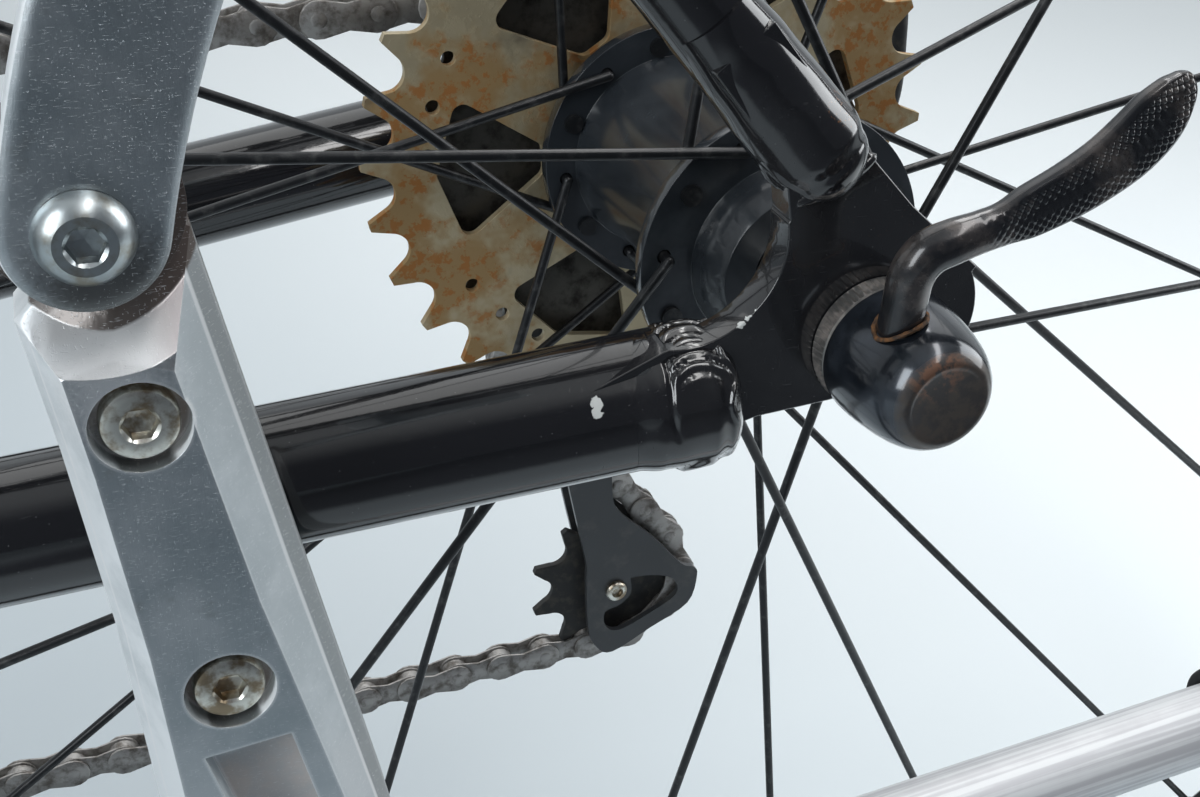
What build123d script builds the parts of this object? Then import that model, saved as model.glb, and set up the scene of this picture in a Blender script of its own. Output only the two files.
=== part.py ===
from build123d import *
import os
from math import asin, atan2, cos, degrees, hypot, pi, radians, sin, sqrt, tan

# Rear end of a hybrid bicycle, in millimetres: rear triangle, wheel, quick release, cassette,
# derailleur, chain, crankset and side stand.
# It is set out from the middle of the rear axle: +X forward, +Y to the rider's left, +Z up.
# The last section moves it so that the mouth of the seat-post bore is the origin.

# Driving dimensions: frame
dropout_spacing = 130.0         # between the inner faces of the dropouts
dropout_thickness = 6.5
wheel_room = 126.2535           # bead seat to bottom bracket: closes the chain on a whole number of pitches
bracket_drop = 70.0             # bottom bracket below the axle
chainstay_r = 11.1
chainstay_through = (20.0, 66.5, -7.0)
chainstay_slope = 7.55          # degrees down, forwards
chainstay_bend_y = 36.0         # where the stay turns in towards the shell
chainstay_bend_gap = 7.0        # the same, ahead of the bead seat
chainstay_shell_y = 24.0        # middle of the stay where it meets the shell
chainstay_start = {"left": 32.5, "right": 44.0}
seatstay_r = 7.4
seatstay_through = (6.6, 67.0, 24.76)
seatstay_slope = 49.94          # degrees up, forwards
seatstay_top_y = 18.5
seatstay_start = {"left": 12.0, "right": 24.0}
seat_tube_angle = 73.0
seat_tube_length = 500.0        # bottom bracket to the mouth of the seat-post bore
seat_tube_r = 17.0
seat_post_r = 13.6
seat_post_depth = 200.0
shell_length = 68.0
shell_r = 20.5
shell_bore_r = 17.4
bridge_r = 6.5
seat_bridge_gap = 39.0          # over the tyre, up the seatstays
chain_bridge_gap = 28.0         # ahead of the tyre
hanger_eye = (-12.0, -29.0)
hanger_eye_r = 8.5
hanger_bolt_r = 5.0

# Driving dimensions: wheel
rim_seat_r = 311.0              # bead seat, 622 mm across
rim_width = 24.0
rim_wall = 2.2
rim_hook = 6.5                  # height of the side wall over the bead seat
rim_depth = 13.0                # bead seat to the spoke bed's inner face
tyre_width = 37.0
tyre_wall = 3.0
spokes_per_side = 12
spoke_turn = 60.0               # degrees from a hub hole to its rim hole: two crosses
spoke_phase = 5.6               # angle of the first hole of the left flange
spoke_r = 1.0
spoke_circle_r = 22.8
spoke_head_r = 1.9
nipple_r = 2.0
nipple_length = 12.0
flange_left_y = 36.3
flange_right_y = -17.6
flange_r = 26.9
flange_t = 3.0
hub_waist_r = 15.5
hub_bulge_r = 20.5
cup_base_r = 17.5
cup_face_r = 14.6
cup_face_y = 45.9
axle_r = 5.0
axle_bore_r = 2.8
locknut_r = 8.5
cone_r = 7.4
valve_r = 3.0

# Driving dimensions: drive
pitch = 12.7
roller_r = 3.85
gullet_r = 3.98
sprocket_teeth = (30, 26, 23, 20, 18, 16, 14, 12)
sprocket_first_y = -24.2
sprocket_step = 4.75
sprocket_t = 1.9
tooth_tip = 2.6                 # how far teeth pass the pitch circle
sprocket_windows = 6            # rounded triangles cut from the largest sprocket
sprocket_hole_r = 1.5           # groups of three small holes outside the windows
sprocket_hole_depth = 11.1      # from the pitch circle in to a hole
sprocket_hole_phase = 12.9
sprocket_hole_step = 11.8       # degrees between the holes of a group
window_phase = -4.0
carrier_r = 16.0                # body that the sprockets slide on
big_sprocket_phase = 17.8       # angle of one gullet of the largest sprocket
chainring_teeth = (48, 36)
chainring_step = 8.0
ring_bolt_r = 56.0              # circle of the five bolts that hold the chainrings
plate_gap = 2.4                 # between the chain's inner plates
plate_t = 1.2
plate_h = 8.4
pulley_teeth = 10
guide_pulley = (4.0, -60.2)
tension_pulley = (-7.0, -139.5)
sag_r = 2000.0                  # radius of the slack chain's runs
upper_sag = (200.0, 2.07)       # X of the run's lowest point, and how far its arc passes over its ends
lower_sag = (250.0, 3.331)
housing_r = 2.5
housing_back_x = -92.5          # rearmost corner of the housing's loop
housing_stop_run = 74.0         # its stop, up the seatstay
stop_r = 3.8
crank_length = 170.0
crank_spindle_r = 8.5
pedal_eye_r = 7.1

# Driving dimensions: quick release
ring_r = 11.0
ring_t = 4.6
barrel_r = 11.2
barrel_end_r = 6.6
barrel_end_y = 94.4
skewer_r = 2.5
lever_r = 3.4

# Driving dimensions: side stand
stand_bolts = {"upper": (113.0, 11.2), "lower": (105.8, -32.8)}
stand_bolt_r = 2.6
stand_pivot = (116.3, 39.0)
stand_back_y = 72.0
stand_mid_y = 80.0
stand_front_y = 88.0
stand_bolt_bore_r = 6.4
arm_back_y = 84.0
arm_front_y = 92.0
arm_half = 9.6
arm_curve_r = 165.0
arm_lean = 11.5                 # degrees that the arm leans rearwards at its pivot
stand_hinge = (88.0, -117.5)
stand_hinge_y = 78.0
stand_pin_r = 4.0
cheek_gap = 13.0
cheek_t = 4.0
stand_leg_r = 7.8
stand_leg_length = 222.0
stand_folded = (-0.994, 0.0, 0.107)
stand_down = (0.2, 0.17, -0.965)

# Values that follow
fit = 0.05
running = 0.08
free = 0.3
half_spacing = dropout_spacing / 2
outer_face = half_spacing + dropout_thickness
chainstay_length = rim_seat_r + wheel_room
chainstay_bend = (rim_seat_r + chainstay_bend_gap, chainstay_bend_y)
bracket_x = sqrt(chainstay_length**2 - bracket_drop**2)
bracket = (bracket_x, -bracket_drop)
tube_dir = (-cos(radians(seat_tube_angle)), sin(radians(seat_tube_angle)))
mouth = (bracket_x + tube_dir[0] * seat_tube_length, 0.0, -bracket_drop + tube_dir[1] * seat_tube_length)
tyre_mid_r = rim_seat_r + tyre_width / 2 - 1.0
tyre_r = tyre_mid_r + tyre_width / 2
bed_r = rim_seat_r - rim_depth
chain_y = sprocket_first_y - sprocket_step * (len(sprocket_teeth) - 1)
stay_c, stay_s = cos(radians(seatstay_slope)), sin(radians(seatstay_slope))
arm_centre = (stand_pivot[0] - arm_curve_r * cos(radians(arm_lean)),
              stand_pivot[1] - arm_curve_r * sin(radians(arm_lean)))


# Ways of making shapes
def side_plane(y):
    """A plane across the axle: its own x is +X and its own y is +Z."""
    return Plane(origin=(0, y, 0), x_dir=(1, 0, 0), z_dir=(0, -1, 0))


def slab(sketch, y_low, y_high):
    return extrude(side_plane(y_high) * sketch, amount=y_high - y_low)


def disc(x, z, r, y_low, y_high):
    return slab(Pos(x, z) * Circle(r), y_low, y_high)


def bar(start, end, r):
    """A round bar from one point to another."""
    a, b = Vector(*start), Vector(*end)
    return extrude(Plane(origin=a, z_dir=(b - a)) * Circle(r), amount=(b - a).length)


def turned(points):
    """A solid turned about the axle from points of radius and Y."""
    return revolve(make_face(Polyline(*points, close=True)), Axis.Y)


def outline(points):
    return make_face(Polyline(*points, close=True))


def polar(r, angle, centre=(0.0, 0.0)):
    return centre[0] + r * cos(radians(angle)), centre[1] + r * sin(radians(angle))


def largest(shape):
    return max(shape.solids(), key=lambda solid: solid.volume)


nodes = {}


# Frame
def dropout_sketch():
    """Plate seen from the side, with its slot open at the bottom and a round bay between the stays."""
    eye = Pos(-4.3, 3.0) * Circle(14.0)
    body = outline([(-17.3, 10.5), (-3.9, 22.2), (3.2, 29.6), (8.8, 35.9), (22.5, 52.2), (31.0, 45.2), (18.5, 30.0),
                    (17.0, 22.0), (24.0, 6.0), (36.0, 2.5), (54.0, -5.5), (52.6, -17.0), (34.0, -15.5),
                    (19.3, -11.5), (6.7, -10.5), (-4.0, -9.0)])
    bay = Pos(33.0, 18.5) * Circle(16.0)
    slot = Pos(0, -15.0) * Rectangle(2 * (axle_r + fit), 30.0) + Circle(axle_r + fit)
    return eye + body - bay - slot


def make_dropout(side):
    sign = 1 if side == "left" else -1
    y_low, y_high = sorted((sign * half_spacing, sign * outer_face))
    face = dropout_sketch()
    if side == "right":
        hx, hz = hanger_eye
        hanger = outline([(-18.0, 2.0), (hx - hanger_eye_r, hz), (hx + hanger_eye_r, hz), (-5.1, -16.0), (-5.1, 2.0)])
        face = face + (hanger + Pos(hx, hz) * Circle(hanger_eye_r)) - Pos(hx, hz) * Circle(hanger_bolt_r)
    return slab(face, y_low, y_high)


def chainstay_points(side):
    """Start, bend and end of the stay's middle line."""
    sign = 1 if side == "left" else -1
    x0, y0, z0 = chainstay_through
    fall = tan(radians(chainstay_slope))
    inward = (chainstay_bend[1] - y0) / (chainstay_bend[0] - x0)
    start = chainstay_start[side]
    places = ((start, y0 + inward * (start - x0)), chainstay_bend, (bracket_x, chainstay_shell_y))
    return [(x, sign * y, z0 - fall * (x - x0)) for x, y in places]


def make_chainstay(side, spare=0.0):
    start, bend, end = chainstay_points(side)
    path = FilletPolyline(start, bend, end, radius=160.0)
    r = chainstay_r + spare
    stay = sweep(Plane(origin=start, z_dir=Vector(*bend) - Vector(*start)) * Circle(r), path=path)
    return stay + Pos(*start) * Sphere(r)


def seatstay_run():
    """How far up the stay its line meets the seat tube's middle line, seen from the side."""
    x0, _, z0 = seatstay_through
    tx, tz = tube_dir
    return ((bracket_x - x0) * tz - (-bracket_drop - z0) * tx) / (stay_c * tz - stay_s * tx)


def seatstay_point(run, sign=1):
    x0, y0, z0 = seatstay_through
    inward = (seatstay_top_y - y0) / seatstay_run()
    return (x0 + run * stay_c, sign * (y0 + inward * run), z0 + run * stay_s)


def make_frame():
    up = Vector(tube_dir[0], 0, tube_dir[1])
    foot = Vector(bracket_x, 0, -bracket_drop)
    shell = disc(*bracket, shell_r, -shell_length / 2, shell_length / 2)
    shell -= disc(*bracket, shell_bore_r, -shell_length, shell_length)
    shell_space = disc(*bracket, shell_r + fit, -shell_length, shell_length)
    tube_plane = Plane(origin=foot, z_dir=up)
    tube = extrude(tube_plane * Circle(seat_tube_r), amount=seat_tube_length) - shell_space
    tube -= extrude(Plane(origin=Vector(*mouth), z_dir=-up) * Circle(seat_post_r), amount=seat_post_depth)
    tube_space = extrude(tube_plane * Circle(seat_tube_r + fit), amount=seat_tube_length + 20)
    nodes["bottom_bracket_shell"] = shell
    nodes["seat_tube"] = tube
    # Pinch collar at the tube's top, with its ears and bolt at the back
    collar_plane = Plane(origin=Vector(*mouth) - up * 16.0, x_dir=(0, 1, 0), z_dir=up)
    ears = Pos(0, seat_tube_r + 4.0) * Rectangle(16.0, 13.0)
    gap = Pos(0, seat_tube_r + 4.0) * Rectangle(2.4, 16.0)
    collar = Circle(seat_tube_r + 3.6) + ears - Circle(seat_tube_r + fit) - gap
    nodes["seat_collar"] = extrude(collar_plane * collar, amount=13.0)
    for side, sign in (("left", 1), ("right", -1)):
        y_low, y_high = sorted((sign * half_spacing, sign * outer_face))
        plate_space = slab(dropout_sketch(), y_low - fit, y_high + fit)
        seatstay_start_point = seatstay_point(seatstay_start[side], sign)
        seatstay = bar(seatstay_start_point, seatstay_point(seatstay_run(), sign), seatstay_r)
        seatstay += Pos(*seatstay_start_point) * Sphere(seatstay_r)
        nodes[f"dropout_{side}"] = make_dropout(side)
        nodes[f"chainstay_{side}"] = largest(make_chainstay(side) - shell_space - plate_space)
        nodes[f"seatstay_{side}"] = largest(seatstay - tube_space - plate_space)
    # Bridges between the stays, over the tyre and behind the bracket
    x, _, z = seatstay_point(tyre_r + seat_bridge_gap)
    low_x = tyre_r + chain_bridge_gap
    low_z = chainstay_through[2] - tan(radians(chainstay_slope)) * (low_x - chainstay_through[0])
    stay_bridges = (("seatstay_bridge", "seatstay", x, z), ("chainstay_bridge", "chainstay", low_x, low_z))
    for name, stay, x, z in stay_bridges:
        bridge = disc(x, z, bridge_r, -40.0, 40.0) - nodes[f"{stay}_left"] - nodes[f"{stay}_right"]
        nodes[name] = min(bridge.solids(), key=lambda solid: abs(solid.center().Y))


# Wheel
def spoke_lines():
    """Each spoke's side, whether it lies on its flange's outer face, its hub angle and its rim angle."""
    step = 360.0 / spokes_per_side
    lines = []
    for side in ("left", "right"):
        for k in range(spokes_per_side):
            outer = k % 2 == 0
            hub_angle = spoke_phase + k * step + (0 if side == "left" else step / 2)
            # Outer spokes trail on the left and lead on the right, inner ones the other way.
            turn = spoke_turn if outer == (side == "right") else -spoke_turn
            lines.append((side, outer, hub_angle, hub_angle + turn))
    return lines


def make_spoke(side, outer, hub_angle, rim_angle):
    """A spoke with its head and nipple, and the hole its nipple needs."""
    flange_y = flange_left_y if side == "left" else flange_right_y
    lie = (1 if side == "left" else -1) * (1 if outer else -1)
    stand_off = flange_t / 2 + spoke_r + (1.2 if outer else 0.1)
    hx, hz = polar(spoke_circle_r, hub_angle)
    rx, rz = polar(bed_r + 4.5, rim_angle)
    rim_point = Vector(rx, 1.5 if side == "left" else -1.5, rz)
    elbow = (hx, flange_y + lie * stand_off, hz)
    head = (hx, flange_y - lie * (flange_t / 2 + 0.9), hz)
    seat = (hx, flange_y - lie * (flange_t / 2 + 0.05), hz)
    spoke = bar(head, elbow, spoke_r) + Pos(*elbow) * Sphere(spoke_r) + bar(elbow, tuple(rim_point), spoke_r)
    spoke += bar(head, seat, spoke_head_r)
    along = (Vector(*elbow) - rim_point).normalized()
    spoke += bar(tuple(rim_point + along * nipple_length), tuple(rim_point), nipple_r)
    hole = bar(tuple(rim_point + along * 9.0), tuple(rim_point - along * 0.5), nipple_r + 0.15)
    return spoke, hole


def make_tyre():
    """A hollow ring with its beads inside the rim's hooks."""
    neck = rim_width / 2 - rim_wall - fit
    low = rim_seat_r + 0.1
    shoulder = rim_seat_r + rim_hook + 1.0
    inner_shoulder = shoulder + 2.0
    outer = tyre_width / 2
    inside = outer - tyre_wall
    bulge = sqrt(outer**2 - (tyre_mid_r - shoulder)**2)
    inner_bulge = sqrt(inside**2 - (tyre_mid_r - inner_shoulder)**2)
    bead = neck - tyre_wall
    right = [(low, -neck), (shoulder - 0.6, -neck), (shoulder, -bulge)]
    left = [(shoulder, bulge), (shoulder - 0.6, neck), (low, neck), (low, bead), (shoulder, bead),
            (inner_shoulder, inner_bulge)]
    close = [(inner_shoulder, -inner_bulge), (shoulder, -bead), (low, -bead), (low, -neck)]
    edges = [Line(a, b) for run in (right, left, close) for a, b in zip(run, run[1:])]
    edges.append(ThreePointArc((shoulder, -bulge), (tyre_r, 0), (shoulder, bulge)))
    edges.append(ThreePointArc((inner_shoulder, inner_bulge), (tyre_r - tyre_wall, 0), (inner_shoulder, -inner_bulge)))
    return revolve(make_face(edges), Axis.Y)


def make_hub():
    """Two flanges, a bulged barrel and the bearing cup on the left."""
    t = flange_t / 2
    left, right = flange_left_y, flange_right_y
    middle_r = (hub_bulge_r + hub_waist_r) / 2 - 0.5
    barrel = ThreePointArc((hub_bulge_r, right + t), (middle_r, (left + right) / 2), (hub_waist_r, left - t))
    edge = [(hub_waist_r, left - t), (flange_r, left - t), (flange_r, left + t), (cup_base_r, left + t),
            (cup_base_r - 0.6, left + t + 3.5), (cup_face_r, cup_face_y), (cone_r + 1.6, cup_face_y),
            (cone_r + 1.6, cup_face_y - 3.0), (axle_r + running, cup_face_y - 3.0), (axle_r + running, right - t - 1.0),
            (carrier_r - 2.0, right - t - 1.0), (carrier_r - 2.0, right - t), (flange_r, right - t),
            (flange_r, right + t), (hub_bulge_r, right + t)]
    hub = revolve(make_face([barrel] + [Line(a, b) for a, b in zip(edge, edge[1:])]), Axis.Y)
    for side, outer, hub_angle, rim_angle in spoke_lines():
        y = left if side == "left" else right
        hub -= disc(*polar(spoke_circle_r, hub_angle), spoke_r + 0.25, y - flange_t, y + flange_t)
    return hub


def make_wheel():
    half = rim_width / 2
    floor_r = rim_seat_r - 4.0
    hook_r = rim_seat_r + rim_hook
    inner_half = half - rim_wall
    rim = turned([(hook_r, half), (hook_r, inner_half), (rim_seat_r, inner_half), (floor_r, 5.0), (floor_r, -5.0),
                  (rim_seat_r, -inner_half), (hook_r, -inner_half), (hook_r, -half), (rim_seat_r - 5, -half),
                  (bed_r, -7.0), (bed_r, 7.0), (rim_seat_r - 5, half)])
    rim -= turned([(floor_r - 1.6, -6.0), (bed_r + 1.6, -5.0), (bed_r + 1.6, 5.0), (floor_r - 1.6, 6.0)])
    spokes = {"left": [], "right": []}
    for line in spoke_lines():
        spoke, hole = make_spoke(*line)
        spokes[line[0]].append(spoke)
        rim -= hole
    # The valve hangs at the bottom
    valve = bar((0, 0, -floor_r), (0, 0, -bed_r + 30.0), valve_r)
    valve += bar((0, 0, -bed_r + 29.0), (0, 0, -bed_r + 36.0), 2.4)
    rim -= bar((0, 0, -floor_r - 3.0), (0, 0, -bed_r + 3.0), valve_r + fit)
    nodes["rim"] = rim
    nodes["valve"] = valve
    nodes["spokes_left"] = Compound(children=spokes["left"])
    nodes["spokes_right"] = Compound(children=spokes["right"])
    nodes["tyre"] = make_tyre()
    nodes["hub_shell"] = make_hub()
    # Axle with its cones and locknuts, hollow for the skewer
    end = outer_face - 0.8
    nodes["axle"] = turned([
        (axle_bore_r, -end), (axle_r, -end), (axle_r, -half_spacing), (locknut_r, -half_spacing),
        (locknut_r, -half_spacing + 4.2), (axle_r, -half_spacing + 4.2), (axle_r, cup_face_y - 2.7),
        (cone_r, cup_face_y - 2.7), (cone_r, half_spacing - 8.0), (locknut_r, half_spacing - 8.0),
        (locknut_r, half_spacing), (axle_r, half_spacing), (axle_r, end), (axle_bore_r, end)])


# Sprockets and chainrings
def pitch_radius(teeth):
    return pitch / (2 * sin(pi / teeth))


def toothed(teeth, phase, tip=tooth_tip):
    """A toothed outline with one gullet at the phase angle."""
    r = pitch_radius(teeth)
    step = 360.0 / teeth
    half = degrees(0.9 / (r + tip))
    edges = []
    for k in range(teeth):
        angle = phase + k * step
        centre = polar(r, angle)
        start, middle, end = [polar(gullet_r, angle + 180.0 + turn, centre) for turn in (62.0, 0.0, -62.0)]
        tip_before = polar(r + tip, angle - step / 2 + half)
        tip_after = polar(r + tip, angle + step / 2 - half)
        next_tip = polar(r + tip, angle + step / 2 + half)
        edges += [Line(tip_before, start), ThreePointArc(start, middle, end), Line(end, tip_after),
                  Line(tip_after, next_tip)]
    return make_face(edges)


def window():
    """A rounded triangle that points at the hub."""
    shape = outline([polar(25.5, -7.0), polar(45.5, -20.0), polar(48.0, 0.0), polar(45.5, 20.0), polar(25.5, 7.0)])
    return fillet(shape.vertices(), 2.4)


def make_cassette(drive_phase):
    bore = Circle(carrier_r + fit)
    y = sprocket_first_y
    teeth = sprocket_teeth[0]
    angles = [sprocket_hole_phase + k * 360.0 / sprocket_windows + step * sprocket_hole_step
              for k in range(sprocket_windows) for step in (-1, 0, 1)]
    hole_circle = pitch_radius(teeth) - sprocket_hole_depth
    holes = Sketch() + [Pos(*polar(hole_circle, angle)) * Circle(sprocket_hole_r) for angle in angles]
    face = toothed(teeth, big_sprocket_phase) - bore - holes
    for k in range(sprocket_windows):
        face -= Rot(0, 0, window_phase + k * 360.0 / sprocket_windows) * window()
    nodes["cassette_large_sprocket"] = slab(face, y - sprocket_t / 2, y + sprocket_t / 2)
    stack = None
    for teeth in sprocket_teeth[1:]:
        # Each sprocket comes with the spacer ring on its inboard side.
        y -= sprocket_step
        ring = slab(Circle(carrier_r + 2.5) - bore, y + sprocket_t / 2, y + sprocket_step - sprocket_t / 2)
        plate = slab(toothed(teeth, drive_phase) - bore, y - sprocket_t / 2, y + sprocket_t / 2)
        stack = ring + plate if stack is None else stack + ring + plate
    nodes["cassette_small_sprockets"] = stack
    y_in = flange_right_y - flange_t / 2 - 1.0 - free
    y_out = chain_y - sprocket_t / 2
    nodes["cassette_carrier"] = disc(0, 0, carrier_r, y_out, y_in) - disc(0, 0, axle_r + running, y_out - 9, y_in + 9)
    ring = Circle(carrier_r + 1.5) - Circle(11.0)
    nodes["cassette_lockring"] = slab(ring, y_out - 1.5, y_out)


# Chain
def sag_middle(sag, ends):
    """Middle of a slack run's arc, over the two ends that it hangs between."""
    x, lift = sag
    low = max(z - (x - end_x)**2 / (2 * sag_r) for end_x, z in ends) + lift
    return x, low + sag_r


def chain_path():
    """The loop's arcs: centre, radius, turn sense, pitches round the full circle, arrival angle and turn."""
    small, large, jockey = (pitch_radius(n) for n in (sprocket_teeth[-1], chainring_teeth[0], pulley_teeth))
    upper = sag_middle(upper_sag, ((0.0, small), (bracket[0], bracket[1] + large)))
    lower = sag_middle(lower_sag, ((tension_pulley[0], tension_pulley[1] - jockey), (bracket[0], bracket[1] - large)))
    wheels = [(centre, r, sense, 2 * pi * sag_r / pitch if r == sag_r else round(pi / asin(pitch / (2 * r))))
              for centre, r, sense in (((0.0, 0.0), small, 1), (guide_pulley, jockey, -1), (tension_pulley, jockey, 1),
                                       (lower, sag_r, 1), (bracket, large, 1), (upper, sag_r, -1))]
    count = len(wheels)
    leave = [0.0] * count
    arrive = [0.0] * count
    for i in range(count):
        (c1, r1, s1, _), (c2, r2, s2, _) = wheels[i], wheels[(i + 1) % count]
        dx, dz = c2[0] - c1[0], c2[1] - c1[1]
        # The run's direction makes the signed radii meet: left turns have positive radii.
        heading = degrees(atan2(dz, dx) + asin((s1 * r1 - s2 * r2) / hypot(dx, dz)))
        leave[i] = heading - 90.0 * s1
        arrive[(i + 1) % count] = heading - 90.0 * s2
    return [(c, r, s, n, arrive[i], (leave[i] - arrive[i]) % 360.0 if s > 0 else -((arrive[i] - leave[i]) % 360.0))
            for i, (c, r, s, n) in enumerate(wheels)]


def chain_pins(path):
    """Middle of every pin."""
    spans = []
    for i, (c, r, s, n, angle, turn) in enumerate(path):
        spans.append((c, r, angle, turn, n * abs(turn) / 360.0))
        c2, r2, _, _, angle2, _ = path[(i + 1) % len(path)]
        start, end = polar(r, angle + turn, c), polar(r2, angle2, c2)
        spans.append((start, end, None, None, hypot(end[0] - start[0], end[1] - start[1]) / pitch))
    total = sum(span[-1] for span in spans)
    count = round(total)
    pins = []
    done = 0.0
    for p, q, angle, turn, length in spans:
        while len(pins) < count and len(pins) * total / count < done + length:
            t = (len(pins) * total / count - done) / length
            if angle is None:
                pins.append((p[0] + (q[0] - p[0]) * t, p[1] + (q[1] - p[1]) * t))
            else:
                pins.append(polar(q, angle + turn * t, p))
        done += length
    return pins


def chain_band(path, offset):
    """The loop moved sideways by the offset, as a face."""
    edges = []
    for i, (c, r, s, n, angle, turn) in enumerate(path):
        radius = r + s * offset
        end = polar(radius, angle + turn, c)
        edges.append(ThreePointArc(polar(radius, angle, c), polar(radius, angle + turn / 2, c), end))
        c2, r2, s2, _, angle2, _ = path[(i + 1) % len(path)]
        edges.append(Line(end, polar(r2 + s2 * offset, angle2, c2)))
    return make_face(edges)


def make_chain(path, pins):
    """Two plates with six-sided rollers between them, left out where a turning wheel's teeth pass."""
    turning = (((0.0, 0.0), sprocket_teeth[-1]), (bracket, chainring_teeth[0]))
    clear = [pin for pin in pins if all(hypot(pin[0] - x, pin[1] - z) > pitch_radius(n) + tooth_tip + roller_r + free
                                        for (x, z), n in turning)]
    band = chain_band(path, plate_h / 2) - chain_band(path, -plate_h / 2)
    inner = plate_gap / 2
    rollers = Sketch() + [Pos(*pin) * RegularPolygon(roller_r, 6) for pin in clear]
    chain = slab(band, chain_y + inner, chain_y + inner + plate_t)
    chain += slab(band, chain_y - inner - plate_t, chain_y - inner)
    return chain + slab(rollers, chain_y - inner, chain_y + inner)


def gear_phase(pins, centre, teeth):
    """Angle of the roller of the loop that lies in a gullet of this wheel."""
    r = pitch_radius(teeth)
    near = [p for p in pins if abs(hypot(p[0] - centre[0], p[1] - centre[1]) - r) < 0.02]
    middle = near[len(near) // 2]
    return degrees(atan2(middle[1] - centre[1], middle[0] - centre[0]))


def make_chainrings(phase):
    """The rings, spaced apart by bosses on the inner one, and their five bolts."""
    half = sprocket_t / 2
    tabs = [Rot(0, 0, 72 * k + 36) * Pos(ring_bolt_r, 0) for k in range(5)]
    faces = []
    for teeth, ring_phase in zip(chainring_teeth, (phase, 0.0)):
        hole_r = max(pitch_radius(teeth) - 13.0, ring_bolt_r - 5.0)
        face = toothed(teeth, ring_phase) - Circle(hole_r)
        reach = max(hole_r - ring_bolt_r + 3.0, 9.0)
        for tab in tabs:
            face += tab * (Circle(9.0) + Pos(reach / 2, 0) * Rectangle(reach, 18.0))
        for tab in tabs:
            face -= tab * Circle(4.0 + fit)
        faces.append(Pos(*bracket) * face)
    inner_y = chain_y + chainring_step
    boss = Sketch() + [tab * (Circle(7.0) - Circle(4.0 + fit)) for tab in tabs]
    nodes["chainring_outer"] = slab(faces[0], chain_y - half, chain_y + half)
    nodes["chainring_inner"] = (slab(faces[1], inner_y - half, inner_y + half)
                                + slab(Pos(*bracket) * boss, chain_y + half + fit, inner_y - half))
    spider_low = chain_y - half - fit - 5.0
    bolts = Sketch() + [Pos(*bracket) * tab * Circle(4.0) for tab in tabs]
    heads = Sketch() + [Pos(*bracket) * tab * Circle(6.0) for tab in tabs]
    nodes["chainring_bolts"] = slab(bolts, spider_low, inner_y + half) + slab(heads, spider_low - 1.6, spider_low)
    return tabs, spider_low


def make_drive():
    path = chain_path()
    pins = chain_pins(path)
    nodes["chain"] = make_chain(path, pins)
    make_cassette(gear_phase(pins, (0.0, 0.0), sprocket_teeth[-1]))
    for name, centre in (("guide", guide_pulley), ("tension", tension_pulley)):
        face = toothed(pulley_teeth, gear_phase(pins, centre, pulley_teeth), 2.2) - Circle(3.0 + fit)
        nodes[f"pulley_{name}"] = slab(Pos(*centre) * face, chain_y - 1.0, chain_y + 1.0)
    make_derailleur()
    make_crankset(*make_chainrings(gear_phase(pins, bracket, chainring_teeth[0])))


def make_derailleur():
    gx, gz = guide_pulley
    plate = outline([(gx - 9.0, gz), (gx + 9.0, gz), (6.0, -110.0), (9.0, -128.0), (5.5, -150.0), (-5.9, -162.0),
                     (-30.2, -146.0), (-31.6, -139.5), (-17.4, -130.0), (-8.0, -108.0)]) + Pos(gx, gz) * Circle(10.5)
    wall = 1.8
    gap = plate_gap / 2 + plate_t + 1.2
    cage = slab(plate, chain_y + gap, chain_y + gap + wall) + slab(plate, chain_y - gap - wall, chain_y - gap)
    for x, z in (guide_pulley, tension_pulley):
        cage += disc(x, z, 3.0, chain_y - gap - wall - 1.0, chain_y + gap + wall + 1.0)
        for low, high in ((1.05, gap), (-gap, -1.05)):
            cage += disc(x, z, 5.0, chain_y + low, chain_y + high)
    nodes["derailleur_cage"] = cage
    # Body: hanger knuckle with its bolt, link and cage knuckle
    hx, hz = hanger_eye
    upper = disc(hx, hz, 9.5, -outer_face - 14.0, -outer_face - fit)
    upper += disc(hx, hz, hanger_bolt_r - fit, -outer_face - 1.0, -half_spacing)
    knuckle_y = chain_y - gap - wall - 1.0 - fit
    knuckle = disc(gx + 3.0, gz + 2.0, 11.0, knuckle_y - 18.0, knuckle_y)
    link = outline([(hx + 5, hz + 7), (hx + 20, hz - 4), (gx + 12, gz + 8), (gx + 2, gz - 8), (hx - 7, hz - 5)])
    body = upper + knuckle + slab(link, -outer_face - 13.0, -outer_face - 2.0)
    # Cable adjuster, the housing's loop behind the dropout, and its stop on the seatstay
    entry = Vector(hx - 18.0, -outer_face - 7.5, hz - 17.0)
    nodes["derailleur_body"] = body + bar(tuple(entry), tuple(entry + Vector(22.0, 0, 0)), housing_r + 0.8)
    offset = Vector(0, -seatstay_r - stop_r + 0.1, 0)
    stop_low, stop_high = [Vector(*seatstay_point(run, -1)) + offset for run in (housing_stop_run, housing_stop_run + 10.0)]
    stay = bar(seatstay_point(40.0, -1), seatstay_point(140.0, -1), seatstay_r)
    nodes["housing_stop"] = bar(tuple(stop_low), tuple(stop_high), stop_r) - stay
    first_bend = stop_low + (stop_low - stop_high).normalized() * 50.0
    loop = (stop_low, first_bend, Vector(housing_back_x + 6.0, entry.Y, first_bend.Z - 5.0),
            Vector(housing_back_x, entry.Y, entry.Z), entry)
    path = FilletPolyline(*[tuple(point) for point in loop], radius=(60.0, 38.0, 36.0))
    nodes["shift_housing"] = sweep(Plane(origin=stop_low, z_dir=first_bend - stop_low) * Circle(housing_r), path=path)


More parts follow.
